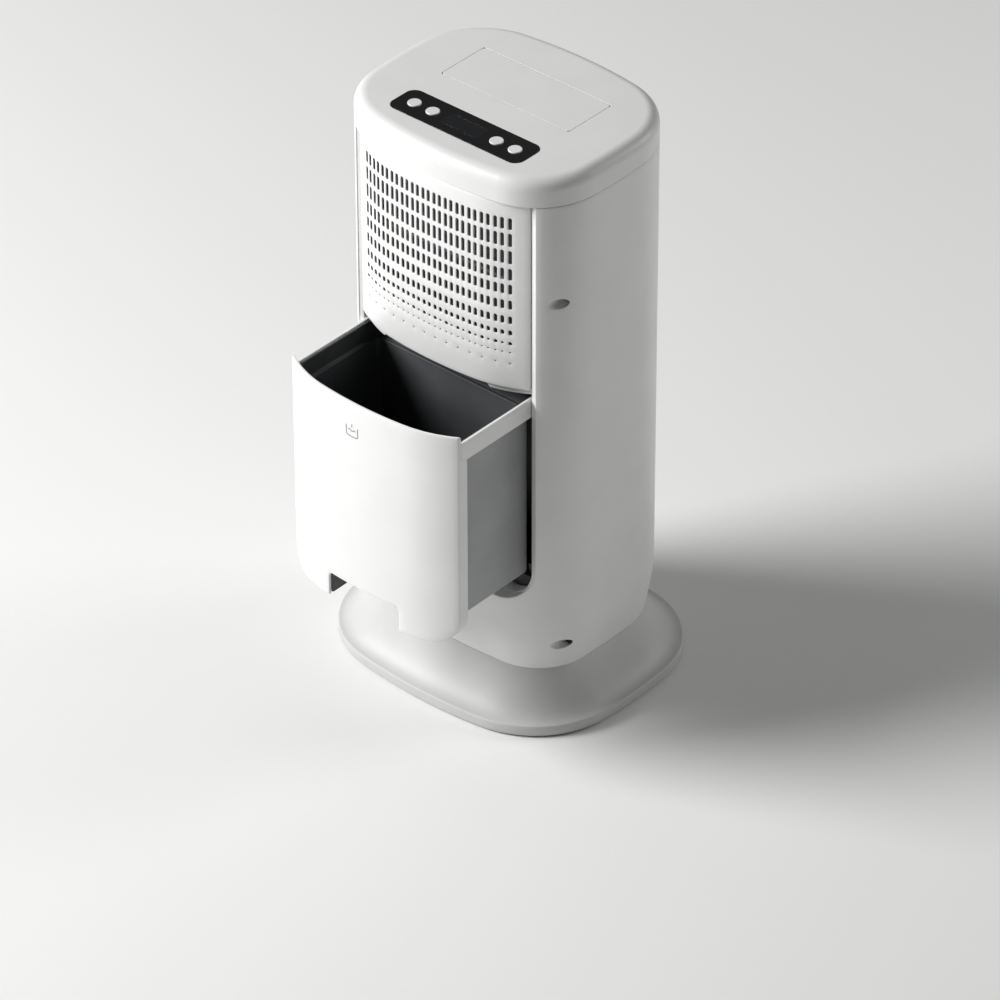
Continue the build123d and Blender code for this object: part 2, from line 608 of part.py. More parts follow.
# ------------------------------------------------------------------ fan
def make_fan():
    def scroll(radius, half_l, half_r, low, top, y0, y1):
        drum = rod("Y", radius, y0, y1, 0, FAN_Z)
        return drum + box(-half_l, half_r, y0, y1, low, top)

    t = 2.4
    housing = scroll(SCROLL_R, 78, SCROLL_R, 500, 571, SCROLL_FRONT, SCROLL_BACK)
    housing -= scroll(SCROLL_R - t, 78 - t, SCROLL_R - t, 500 + t, 575, SCROLL_FRONT + t, SCROLL_BACK - t)
    housing -= rod("Y", 54, SCROLL_FRONT - 1, SCROLL_FRONT + 4, 0, FAN_Z)
    housing -= rod("Y", 12, SCROLL_BACK - 4, SCROLL_BACK + 1, 0, FAN_Z)
    parts["fan_housing"] = housing

    back = FAN_Y + FAN_W
    disc = rod("Y", FAN_R, back - 2, back, 0, FAN_Z) + rod("Y", 14, back - 22, back, 0, FAN_Z)
    ring = rod("Y", FAN_R, FAN_Y, FAN_Y + 2.4, 0, FAN_Z) - rod("Y", FAN_R - 9, FAN_Y - 1, FAN_Y + 4, 0, FAN_Z)
    wheel = disc + ring
    blades = 24
    blade = box(-0.9, 0.9, FAN_Y, back, FAN_R - 11, FAN_R - 0.4)
    for i in range(blades):
        place = Pos(0, 0, FAN_Z) * Rot(0, 360 / blades * i, 0) * Pos(0, 0, FAN_R - 6) * Rot(0, 28, 0)
        wheel += place * Pos(0, 0, -(FAN_R - 6)) * blade
    wheel -= rod("Y", SHAFT_R, back - 30, back + 5, 0, FAN_Z)
    parts["fan_wheel"] = wheel
    parts["fan_shaft"] = rod("Y", SHAFT_R, back - 20, 64, 0, FAN_Z)
    motor = rod("Y", 34, SCROLL_BACK + 0.2, 88, 0, FAN_Z)
    motor = fillet(motor.edges().group_by(Axis.Y)[-1], 6)
    parts["fan_motor"] = motor - rod("Y", SHAFT_R + 0.08, 50, 66, 0, FAN_Z)


# ------------------------------------------------------------------ electrics and drain
def make_electrics():
    board = box(-68, 12, -80, -30, 64, 65.6)
    for x, y, w, d, h in ((-54, -66, 18, 14, 16), (-30, -64, 22, 20, 24), (-4, -60, 14, 12, 12), (-48, -42, 24, 10, 9)):
        board += box(x - w / 2, x + w / 2, y - d / 2, y + d / 2, 65.6, 65.6 + h)
    for x in (-64, 8):
        for y in (-76, -34):
            board += rod("Z", 3, 60, 64, x, y)
    parts["power_board"] = board
    parts["run_capacitor"] = rod("Z", 18, 60.2, 120, 72, -22)
    parts["bucket_sensor"] = box(60, 80, BAY_BACK + BAY_T, BAY_BACK + BAY_T + 5, 172, 184)
    parts["humidity_sensor"] = box(104, 107, -70, -56, 440, 462)

    inlet = box(INLET_X - 14, INLET_X + 14, 78, 103, INLET_Z - 10, INLET_Z + 10)
    inlet -= box(INLET_X - 12, INLET_X + 12, 86, 110, INLET_Z - 8, INLET_Z + 8)
    pins = []
    for x, z in ((-7, -2), (7, -2), (0, 3)):
        pins.append(box(INLET_X + x - 1, INLET_X + x + 1, 86, 98, INLET_Z + z - 2, INLET_Z + z + 2))
    parts["mains_inlet"] = inlet
    parts["inlet_pins"] = Compound(children=pins)

    port = rod("Y", 8, 66, 104, DRAIN_X, DRAIN_Z) + rod("Y", 13, 92, 94.5, DRAIN_X, DRAIN_Z)
    parts["drain_port"] = port - rod("Y", 6, 64, 106, DRAIN_X, DRAIN_Z)
    plug = rod("Y", 5.8, 92, 104.6, DRAIN_X, DRAIN_Z) + rod("Y", 9.4, 104.4, 108, DRAIN_X, DRAIN_Z)
    parts["drain_plug"] = fillet(plug.edges().group_by(Axis.Y)[-1], 1)


for make in (make_base, make_casing, make_top, make_grille, make_bucket, make_chassis, make_refrigeration,
             make_fan, make_electrics):
    make()

for name, shape in parts.items():
    export_step(shape, f"parts/{name}.step")
    print(name, [round(v, 1) for v in shape.bounding_box().size])
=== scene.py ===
import json
from math import acos, asin, atan2, cos, pi, radians, sin, sqrt, tan

import bmesh
import bpy
import numpy as np
from mathutils import Matrix, Vector
from mathutils.geometry import delaunay_2d_cdt


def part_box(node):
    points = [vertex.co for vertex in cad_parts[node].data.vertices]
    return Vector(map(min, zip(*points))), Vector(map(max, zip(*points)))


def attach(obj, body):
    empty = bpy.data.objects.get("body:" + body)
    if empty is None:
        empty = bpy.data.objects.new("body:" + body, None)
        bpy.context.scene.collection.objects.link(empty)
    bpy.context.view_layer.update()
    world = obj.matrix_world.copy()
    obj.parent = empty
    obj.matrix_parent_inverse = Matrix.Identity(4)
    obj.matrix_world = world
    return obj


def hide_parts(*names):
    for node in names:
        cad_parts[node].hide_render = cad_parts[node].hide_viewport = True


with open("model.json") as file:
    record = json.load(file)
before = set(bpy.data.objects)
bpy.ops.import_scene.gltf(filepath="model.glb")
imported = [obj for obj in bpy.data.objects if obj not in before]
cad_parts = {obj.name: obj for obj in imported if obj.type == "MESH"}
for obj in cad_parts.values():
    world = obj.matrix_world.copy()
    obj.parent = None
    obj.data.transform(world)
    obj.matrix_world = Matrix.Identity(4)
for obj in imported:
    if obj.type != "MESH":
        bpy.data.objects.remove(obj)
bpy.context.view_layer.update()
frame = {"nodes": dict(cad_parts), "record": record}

# Lengths are in millimetres until piece() turns them to metres; floor, lamps and camera are in metres.
MM = 0.001


def node_box(name):
    """Lowest and highest corner of a CAD node in millimetres."""
    low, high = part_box(name)
    return [v / MM for v in low], [v / MM for v in high]


base_low, base_high = node_box("base_plate")
shell_low, shell_high = node_box("outer_shell")
door_low, door_high = node_box("bucket_front")
grille_low, grille_high = node_box("front_grille")
rail_low, rail_high = node_box("bucket_frame")
tank_low, tank_high = node_box("bucket_tank")

HALF_W = 134.3                      # casing
HALF_D = 106.1
FRONT_RADII = (758.0, 720.0, 67.0)  # arcs across the end, down the side and at the corner
BACK_RADII = (456.0, 455.0, 79.0)
BASE_RADII = (530.0, 500.0, 97.0)
BASE_HALF_W = 158.5
BASE_HALF_D = 134.5
WALL = 3.5
BASE_EDGE = 13.0                    # top of the base's upright edge
BASE_EDGE_R = 1.3
PAD_R = 10.0                        # rubber pads under the base
CASE_FOOT = 57.0                    # where the flare meets the casing
TUCK = 8.0                          # how far the casing draws in at its foot
TUCK_TOP = 125.0
SEAM_Y = 82.0                       # joint between casing and rear cover
HALF_GAP = 0.15                     # half of the gap in that joint
RIM_Y = -89.0                       # flat rim round the opening
OPEN_HALF = 107.6
OPEN_LOW = 138.0
OPEN_R = 34.0
CROWN_Y = -110.35                   # most forward line of grille and bucket
CROWN_R = 430.0
SHOULDER_R = 123.0
CROWN_HALF = 50.0
PANEL_HALF = 101.5
PANEL_T = 3.0
DOOR_R = 28.0                       # lower corners of the bucket front
RETURN_DEPTH = 9.7                  # how far its sides turn back
NOTCH_HALF = 43.0                   # hand notch in its lower edge
NOTCH_TOP = 166.0
RAIL_LOW = 342.5
PULL = CROWN_Y - door_low[1]        # how far the bucket stands out
TANK_LOW = 163.0
TANK_HALF = 93.0                    # half width below the ledge that the rails hold
TANK_WALL = 2.5
LEDGE_STEP = 4.3                    # how much further back the tank's rim stands than its wall
LOW_INSET = 6.0                     # tank's front wall behind the crown, below and above the ledge
HIGH_INSET = 3.2
SCREW_X = 121.6
SCREW_HEIGHTS = (86.5, 468.0)
SCREW_FLOOR = -57.0                 # y of the floor of the casing's screw recesses
VENT_LEFT = -59.8                   # ends of the rear cover's slits
VENT_RIGHT = 23.8
REAR_SCREW_X = 90.0
REAR_SCREW_HEIGHTS = (90.0, 545.0)


# ---------------------------------------------------------------- shapes of the mouldings
def crown(x, inset=0.0):
    """Y of the crowned front at x, moved in by inset."""
    turn = asin(CROWN_HALF / CROWN_R)
    middle_y = CROWN_Y + CROWN_R
    x = abs(x)
    if x <= (CROWN_R - inset) * sin(turn):
        return middle_y - sqrt((CROWN_R - inset) ** 2 - x * x)
    side_x = (CROWN_R - SHOULDER_R) * sin(turn)
    side_y = middle_y - (CROWN_R - SHOULDER_R) * cos(turn)
    r = SHOULDER_R - inset
    return side_y - sqrt(max(r * r - (x - side_x) ** 2, 0.0))


def quarter(half_w, half_d, radii, counts=(10, 14, 12)):
    """Points with outward normals round a quarter of a rounded outline, from the side to the end."""
    end_r, side_r, corner_r = radii
    end_y = half_d - end_r
    side_x = half_w - side_r
    to_end = end_r - corner_r
    to_side = side_r - corner_r
    apart = sqrt(side_x ** 2 + end_y ** 2)
    along = (to_end ** 2 - to_side ** 2 + apart ** 2) / (2 * apart)
    across = sqrt(to_end ** 2 - along ** 2)
    corner_x = (side_x * along - end_y * across) / apart
    corner_y = end_y + (-end_y * along - side_x * across) / apart
    side_turn = atan2(corner_y, corner_x - side_x)
    end_turn = atan2(corner_y - end_y, corner_x)
    arcs = (
        (side_x, 0.0, side_r, 0.0, side_turn, counts[0]),
        (corner_x, corner_y, corner_r, side_turn, end_turn, counts[1]),
        (0.0, end_y, end_r, end_turn, pi / 2, counts[2]),
    )
    points = []
    for cx, cy, r, start, end, count in arcs:
        for i in range(count):
            turn = start + (end - start) * i / count
            points.append((cx + r * cos(turn), cy + r * sin(turn), cos(turn), sin(turn)))
    points.append((0.0, half_d, 0.0, 1.0))
    return points


def outline(half_w, half_d, front, back, inset=0.0, bulge=0.0, counts=(10, 14, 12)):
    """A closed rounded outline as points with normals, anticlockwise from the middle of the right side."""
    depth = half_d + bulge - inset
    behind = quarter(half_w - inset, half_d - inset, [r - inset for r in back], counts)
    ahead = quarter(half_w - inset, depth, [r - inset for r in front], counts)
    ring = behind[:-1]
    ring += [(-x, y, -nx, ny) for x, y, nx, ny in reversed(behind[1:])]
    ring += [(-x, -y, -nx, -ny) for x, y, nx, ny in ahead[:-1]]
    ring += [(x, -y, nx, -ny) for x, y, nx, ny in reversed(ahead[1:])]
    return ring


def level(ring, z):
    """The outline's points at one height."""
    return [(p[0], p[1], z) for p in ring]


def tuck(z):
    """How far the casing's wall is drawn in at height z."""
    if z >= TUCK_TOP:
        return 0.0
    return TUCK * ((TUCK_TOP - z) / (TUCK_TOP - CASE_FOOT)) ** 2


def rounded(corners, step=6.0, turn_step=0.16):
    """A closed outline through corners (x, y, radius), with its arcs and straight sides divided."""
    runs = []
    count = len(corners)
    for i, (x, y, r) in enumerate(corners):
        here = Vector((x, y))
        if not r:
            runs.append([here])
            continue
        back = (Vector(corners[i - 1][:2]) - here).normalized()
        ahead = (Vector(corners[(i + 1) % count][:2]) - here).normalized()
        half = acos(max(-1, min(1, back.dot(ahead)))) / 2
        centre = here + (back + ahead).normalized() * (r / sin(half))
        first = here + back * (r / tan(half)) - centre
        last = here + ahead * (r / tan(half)) - centre
        start = atan2(first.y, first.x)
        turn = (atan2(last.y, last.x) - start + pi) % (2 * pi) - pi
        parts = max(3, round(abs(turn) / turn_step))
        runs.append([centre + Vector((cos(start + turn * k / parts), sin(start + turn * k / parts))) * r
                     for k in range(parts + 1)])
    points = []
    for i, run in enumerate(runs):
        points += run
        gap = runs[(i + 1) % count][0] - run[-1]
        parts = max(1, round(gap.length / step))
        points += [run[-1] + gap * (k / parts) for k in range(1, parts)]
    return [(p.x, p.y) for p in points]


def inward(loop):
    """For each point of a closed outline, the unit normal on its left."""
    count = len(loop)
    normals = []
    for i in range(count):
        a = Vector(loop[i]) - Vector(loop[i - 1])
        b = Vector(loop[(i + 1) % count]) - Vector(loop[i])
        both = a.normalized() + b.normalized()
        side = Vector((-both.y, both.x)).normalized()
        grow = max(0.5, Vector((-b.y, b.x)).normalized().dot(side))
        normals.append(side / grow)
    return normals


def within(points, loop):
    """For each of an array of points, whether it lies inside a closed outline."""
    inside = np.zeros(len(points), bool)
    corners = np.array(loop)
    for a, b in zip(corners, np.roll(corners, -1, 0)):
        if a[1] != b[1]:
            crosses = (a[1] > points[:, 1]) != (b[1] > points[:, 1])
            reach = a[0] + (points[:, 1] - a[1]) * (b[0] - a[0]) / (b[1] - a[1])
            inside ^= crosses & (points[:, 0] < reach)
    return inside


def fill(loops, pitch, keep_off):
    """Triangles inside the first outline and outside the others, with spare points at pitch between them."""
    points = [Vector(p) for loop in loops for p in loop]
    edges = []
    start = 0
    for loop in loops:
        count = len(loop)
        edges += [(start + i, start + (i + 1) % count) for i in range(count)]
        start += count
    border = np.array(points)
    low = border.min(0)
    high = border.max(0)
    across, up = np.meshgrid(np.arange(low[0] + pitch[0] / 2, high[0], pitch[0]),
                             np.arange(low[1] + pitch[1] / 2, high[1], pitch[1]))
    spare = np.column_stack([across.ravel(), up.ravel()])
    spare = spare[within(spare, loops[0])]
    for loop in loops[1:]:
        spare = spare[~within(spare, loop)]
    spare = [Vector(p) for p in spare if ((border - p) ** 2).sum(1).min() > keep_off ** 2]
    made = delaunay_2d_cdt(points + spare, edges, [], 0, 1e-4)
    kept = np.array(made[0])
    place = {}
    for i, sources in enumerate(made[3]):
        for source in sources:
            place[source] = i
    owner = np.full(len(kept), -1)
    where = 0
    for index, loop in enumerate(loops):
        for i in range(len(loop)):
            owner[place[where + i]] = index
        where += len(loop)
    sides = np.array(made[2])
    middle = kept[sides].mean(1)
    inside = within(middle, loops[0])
    owners = owner[sides]
    in_hole = (owners[:, 0] > 0) & (owners[:, 0] == owners[:, 1]) & (owners[:, 0] == owners[:, 2])
    sides = sides[inside & ~in_hole]
    return made[0], [tuple(int(v) for v in side) for side in sides], [place[i] for i in range(len(points))]


# ---------------------------------------------------------------- mesh makers
CREASE = radians(38)     # edges that bend by more stay sharp
SAME_SPOT = 0.0004       # points nearer than this are one


def piece(name, points, faces, finish, body):
    """Makes a clean mesh from points in millimetres, which rides on a body."""
    mesh = bpy.data.meshes.new(name)
    mesh.from_pydata([Vector(p) * MM for p in points], [], faces)
    bm = bmesh.new()
    bm.from_mesh(mesh)
    bmesh.ops.remove_doubles(bm, verts=bm.verts, dist=SAME_SPOT * MM)
    bmesh.ops.dissolve_degenerate(bm, edges=bm.edges, dist=SAME_SPOT * MM)
    bmesh.ops.delete(bm, geom=[v for v in bm.verts if not v.link_faces], context="VERTS")
    bmesh.ops.recalc_face_normals(bm, faces=bm.faces)
    for face in bm.faces:
        face.smooth = True
    for edge in bm.edges:
        if len(edge.link_faces) == 2:
            edge.smooth = edge.calc_face_angle(0) < CREASE
    bm.to_mesh(mesh)
    bm.free()
    made = bpy.data.objects.new(name, mesh)
    bpy.context.scene.collection.objects.link(made)
    made.data.materials.append(finish)
    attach(made, body)
    return made


def loft(rings, ends=True):
    """Faces between rings with the same number of points, closed by a face at each end."""
    count = len(rings[0])
    points = [p for ring in rings for p in ring]
    faces = []
    for k in range(len(rings) - 1):
        for i in range(count):
            j = (i + 1) % count
            a = k * count
            b = a + count
            faces.append((a + i, a + j, b + j, b + i))
    if ends:
        faces.append(tuple(range(count)))
        faces.append(tuple(range(len(points) - count, len(points))))
    return points, faces


def turned(profile, centre, axis, count=32):
    """A turned shape: profile is (radius, along) pairs, set round an axis that starts at centre."""
    aim = Vector((0, 0, 1)).rotation_difference(Vector(axis))
    rings = []
    for r, along in profile:
        ring = []
        for i in range(count):
            turn = 2 * pi * i / count
            ring.append(Vector(centre) + aim @ Vector((r * cos(turn), r * sin(turn), along)))
        rings.append(ring)
    return loft(rings)


def join(*shapes):
    """One list of points and faces from several."""
    points = []
    faces = []
    for more, sides in shapes:
        start = len(points)
        points += more
        faces += [tuple(i + start for i in side) for side in sides]
    return points, faces


def slab(loops, place, profile, pitch, keep_off, field=None):
    """A moulding of thin wall: filled outlines, closed round every edge by its profile.

    loops are the outer outline, anticlockwise, and its holes, clockwise. profile(loop, i, point, normal)
    gives the edge's points from the front face to the back. place(x, y, depth) lays a point on the surface.
    field is the wall's thickness away from the edges, where it isn't the outer edge's."""
    edges = []
    fronts = []
    for index, loop in enumerate(loops):
        normals = inward(loop)
        edge = [profile(index, i, Vector(p), n) for i, (p, n) in enumerate(zip(loop, normals))]
        edges.append(edge)
        fronts.append([p[0] for p in edge])
    flat, sides, border = fill([[q[:2] for q in front] for front in fronts], pitch, keep_off)
    steps = len(edges[0][0])
    on_edge = {}
    where = 0
    for index, loop in enumerate(loops):
        for i in range(len(loop)):
            on_edge[border[where]] = (index, i)
            where += 1
    points = []
    for k, p in enumerate(flat):
        points.append(place(p.x, p.y, 0.0))
    back = len(points)
    thick = edges[0][0][-1][2] if field is None else field
    for k, p in enumerate(flat):
        if k in on_edge:
            index, i = on_edge[k]
            points.append(placed(edges[index][i][-1], place))
        else:
            points.append(place(p.x, p.y, thick))
    faces = [tuple(s) for s in sides] + [tuple(v + back for v in reversed(s)) for s in sides]
    where = 0
    for index, loop in enumerate(loops):
        count = len(loop)
        rows = [[border[where + i] for i in range(count)]]
        for k in range(1, steps - 1):
            start = len(points)
            points += [placed(edges[index][i][k], place) for i in range(count)]
            rows.append(list(range(start, start + count)))
        rows.append([border[where + i] + back for i in range(count)])
        for a, b in zip(rows, rows[1:]):
            for i in range(count):
                j = (i + 1) % count
                faces.append((a[i], a[j], b[j], b[i]))
        where += count
    return points, faces


def placed(point, place):
    """A profile point is (x, y, depth) on the surface, or four numbers, the first three a place in space."""
    if len(point) == 4:
        return point[:3]
    return place(*point)


def edge_round(p, n, radius, thick, back_round=0.3):
    """The points of a plain moulded edge, rounded in front and broken behind."""
    points = []
    for k in range(4):
        turn = pi / 2 * k / 3
        off = radius * (1 - sin(turn))
        q = p + n * off
        points.append((q.x, q.y, radius * (1 - cos(turn))))
    for off, depth in ((0.0, thick - back_round), (back_round, thick)):
        q = p + n * off
        points.append((q.x, q.y, depth))
    return points


# ---------------------------------------------------------------- finishes
def linear(colour):
    """sRGB hex to linear RGBA."""
    channels = [int(colour[i:i + 2], 16) / 255 for i in (1, 3, 5)]
    return [c / 12.92 if c <= 0.04045 else ((c + 0.055) / 1.055) ** 2.4 for c in channels] + [1.0]


def add(tree, kind, settings=None, links=None):
    """Adds a node: a setting names a socket, or else a property of the node; links bring sockets in."""
    made = tree.nodes.new(kind)
    for key, value in (settings or {}).items():
        if isinstance(key, int) or (key in made.inputs and not hasattr(made, key)):
            made.inputs[key].default_value = value
        else:
            setattr(made, key, value)
    for key, source in (links or {}).items():
        tree.links.new(source, made.inputs[key])
    return made


def new_finish(name):
    """An empty material with its place texture coordinates and output."""
    made = bpy.data.materials.new(name)
    made.use_nodes = True
    made.node_tree.nodes.clear()
    tree = made.node_tree
    return made, tree, add(tree, "ShaderNodeTexCoord").outputs["Object"]


def close_finish(tree, tint, gloss, grain, edge_mm, strength, depth_mm, own):
    """Rounds the edges to the eye, adds the grain's bump and puts it all on one shader."""
    edge = add(tree, "ShaderNodeBevel", {"samples": 4, "Radius": edge_mm * MM})
    bump = add(tree, "ShaderNodeBump", {"Strength": strength, "Distance": depth_mm * MM},
               {"Height": grain.outputs[0], "Normal": edge.outputs[0]})
    shader = add(tree, "ShaderNodeBsdfPrincipled", own,
                 {"Base Color": tint.outputs[2], "Roughness": gloss.outputs[0], "Normal": bump.outputs[0]})
    add(tree, "ShaderNodeOutputMaterial", {}, {"Surface": shader.outputs[0]})


def moulded(name, colour, tone, rough, grain_mm, depth_mm, coat=0.0, ior=1.53, edge_mm=0.35):
    """Moulded plastic: a cloudy tone from pigment and flow, and the tool's etched grain in bump and gloss."""
    made, tree, at = new_finish(name)
    cloud = add(tree, "ShaderNodeTexNoise", {"Scale": 1000 / 45, "Detail": 3.0}, {"Vector": at})
    spread = add(tree, "ShaderNodeMapRange", {1: 0.35, 2: 0.65}, {0: cloud.outputs[0]})
    tint = add(tree, "ShaderNodeMix", {"data_type": "RGBA", 6: linear(colour), 7: linear(tone)},
               {0: spread.outputs[0]})
    grain = add(tree, "ShaderNodeTexNoise", {"Scale": 1000 / grain_mm, "Detail": 2.0, "Roughness": 0.6},
                {"Vector": at})
    gloss = add(tree, "ShaderNodeMapRange", {3: rough - 0.05, 4: rough + 0.05}, {0: grain.outputs[0]})
    own = {"IOR": ior, "Coat Weight": coat, "Coat Roughness": 0.12}
    close_finish(tree, tint, gloss, grain, edge_mm, 0.6, depth_mm, own)
    return made


def metal(name, colour, tone, rough, grain_mm, stretch, depth_mm, edge_mm=0.2):
    """Metal: its grain is noise drawn out along one way, as rolling, drawing or brushing leaves it."""
    made, tree, at = new_finish(name)
    drawn = add(tree, "ShaderNodeMapping", {"Scale": stretch}, {"Vector": at})
    grain = add(tree, "ShaderNodeTexNoise", {"Scale": 1000 / grain_mm, "Detail": 3.0},
                {"Vector": drawn.outputs[0]})
    dull = add(tree, "ShaderNodeTexNoise", {"Scale": 1000 / 22, "Detail": 2.0}, {"Vector": at})
    tint = add(tree, "ShaderNodeMix", {"data_type": "RGBA", 6: linear(colour), 7: linear(tone)},
               {0: dull.outputs[0]})
    gloss = add(tree, "ShaderNodeMapRange", {3: rough - 0.08, 4: rough + 0.1}, {0: grain.outputs[0]})
    close_finish(tree, tint, gloss, grain, edge_mm, 0.5, depth_mm, {"Metallic": 1.0})
    return made


# Casing in white ABS from a fine etched tool: a soft broad sheen, no sharp reflections, a hint of grain.
white_abs = moulded("abs_white_fine_etched", "#e9e9e8", "#e6e6e5", 0.42, 0.9, 0.012)
# Base in the same ABS with a coarser etch: matt, a shade greyer than the casing.
base_abs = moulded("abs_off_white_coarse_etched", "#cbcbca", "#c7c7c6", 0.5, 1.0, 0.016)
# Grille and bucket front in the same ABS from a polished tool: a little brighter and smoother.
white_abs_smooth = moulded("abs_white_satin", "#ededec", "#eaeae9", 0.34, 1.2, 0.006)
# Tank's outside in grey polypropylene: waxy mid grey with faint flow marks.
pale_pp = moulded("polypropylene_mid_grey", "#a6a7a8", "#9e9fa0", 0.44, 1.4, 0.012)
# Tank's inside and grip walls in charcoal polypropylene: a dull dark grey, a darker copy of the tank's
# outside that paints the shade inside the tank.
charcoal_pp_and_tank_shade = moulded("polypropylene_charcoal_and_tank_shade", "#47494b", "#3f4143", 0.48, 1.4, 0.015)
# Bay liner and chassis in dark grey polystyrene: matt, swallows light.
dark_liner = moulded("polystyrene_dark_grey", "#4a4c4e", "#424446", 0.6, 0.8, 0.02)
chassis_grey = moulded("abs_chassis_grey", "#8b8d8f", "#808284", 0.58, 0.9, 0.02)
# Black ABS and nylon for small parts: matt with fine grain.
black_abs = moulded("abs_black_matt", "#1d1e1f", "#17181a", 0.5, 0.7, 0.015)
# Control fascia and display lens in polished black acrylic: mirror-like over a dark ground.
black_acrylic = moulded("acrylic_black_polished", "#0f1012", "#0c0d0e", 0.12, 3.0, 0.002, coat=1.0, ior=1.49)
smoked_lens = moulded("acrylic_smoked_lens", "#16191c", "#121416", 0.09, 3.0, 0.001, coat=1.0, ior=1.49)
# Keys in satin white ABS.
key_white = moulded("abs_key_satin", "#ececea", "#e4e4e3", 0.3, 0.8, 0.005)
# Foot pads in black rubber: matt, slightly rough, greyish sheen.
rubber = moulded("rubber_moulded_black", "#232323", "#2b2b2a", 0.75, 0.6, 0.03, ior=1.52)
# Fan wheel in glass-filled nylon: dark, dry looking.
nylon_dark = moulded("nylon_glass_filled", "#35373a", "#2d2f31", 0.55, 0.5, 0.02)
# Green solder resist over fibreglass: glossy, deep green.
solder_resist = moulded("solder_resist_green", "#1c5a34", "#174c2c", 0.25, 1.6, 0.01, coat=0.4, ior=1.5)
# Semi-gloss black enamel on the compressor's pressed can: slight orange peel.
black_enamel = moulded("enamel_black_semi_gloss", "#1a1b1d", "#141516", 0.3, 2.2, 0.02, coat=0.5, ior=1.5)
# Zinc-plated steel screws and brackets.
zinc_steel = metal("steel_zinc_plated", "#c4c5c6", "#a9abad", 0.34, 0.5, (1, 1, 1), 0.01)
# Casing's sunk screws in dark steel: a painted shade for the shade in their recesses, so that they vanish
# there.
recess_shade_steel = metal("steel_painted_recess_shade", "#3b3c3e", "#2c2d2f", 0.42, 0.5, (1, 1, 1), 0.01)
# Motor can in zinc-coated sheet.
zinc_sheet = metal("steel_zinc_sheet", "#9fa2a5", "#8a8d90", 0.42, 0.8, (1, 6, 1), 0.01)
# Coil fins in rolled aluminium foil: bright, fine lines along the roll.
foil = metal("aluminium_rolled_foil", "#d5d8dc", "#c2c6ca", 0.3, 0.4, (1, 1, 0.05), 0.006)
# Refrigerant tube in drawn copper: warm, with darker tarnish clouds.
copper = metal("copper_drawn_tube", "#c98158", "#9c5a3c", 0.32, 0.4, (0.1, 1, 1), 0.006)
# Nickelled brass pins.
brass = metal("brass_nickelled", "#d9cfa8", "#bdb083", 0.28, 0.4, (1, 1, 1), 0.004)

# Printed sign in mid grey ink: flat and matt against the white.
sign_grey = moulded("ink_mid_grey", "#8f9193", "#87898b", 0.55, 0.8, 0.004)


def woven_net():
    """Dust net in black nylon: threads 0.12 mm apart would not show, so they are drawn 1.2 mm apart."""
    made, tree, at = new_finish("nylon_net_black")
    pitch = 1000 / 1.2 / 20 * 3.14
    across = add(tree, "ShaderNodeTexWave", {"bands_direction": "X", "Scale": pitch}, {"Vector": at})
    up = add(tree, "ShaderNodeTexWave", {"bands_direction": "Z", "Scale": pitch}, {"Vector": at})
    both = add(tree, "ShaderNodeMath", {"operation": "MAXIMUM"}, {0: across.outputs[1], 1: up.outputs[1]})
    tint = add(tree, "ShaderNodeMix", {"data_type": "RGBA", 6: linear("#1c1d1e"), 7: linear("#3d3f41")},
               {0: both.outputs[0]})
    bump = add(tree, "ShaderNodeBump", {"Strength": 0.8, "Distance": 0.2 * MM}, {"Height": both.outputs[0]})
    shader = add(tree, "ShaderNodeBsdfPrincipled", {"Roughness": 0.6, "Sheen Weight": 0.3},
                 {"Base Color": tint.outputs[2], "Normal": bump.outputs[0]})
    add(tree, "ShaderNodeOutputMaterial", {}, {"Surface": shader.outputs[0]})
    return made


net = woven_net()

slot_finish = {
    "casing_white": white_abs, "front_white": white_abs_smooth, "flap_white": white_abs,
    "bucket_grey": charcoal_pp_and_tank_shade, "liner_grey": dark_liner, "chassis_grey": chassis_grey, "filter_mesh": net,
    "fascia_black": black_acrylic, "display_lens": smoked_lens, "button_white": key_white, "rubber": rubber,
    "steel": zinc_steel, "fin_aluminium": foil, "copper": copper, "compressor_black": black_enamel,
    "motor_metal": zinc_sheet, "wheel_plastic": nylon_dark, "circuit_board": solder_resist,
    "black_plastic": black_abs, "brass_pin": brass,
}
for row in frame["record"]["subparts"]:
    own = frame["nodes"][row["node"]]
    own.data.materials.clear()
    own.data.materials.append(slot_finish[row["material_slot"]])


# ---------------------------------------------------------------- base
def flare(way):
    """The base's outline part of the way from its edge to the casing's foot."""
    half_w = BASE_HALF_W + (HALF_W - TUCK - BASE_HALF_W) * way
    half_d = BASE_HALF_D + (HALF_D - TUCK - BASE_HALF_D) * way
    front = [a + (b - a) * way for a, b in zip(BASE_RADII, FRONT_RADII)]
    back = [a + (b - a) * way for a, b in zip(BASE_RADII, BACK_RADII)]
    return half_w, half_d, front, back


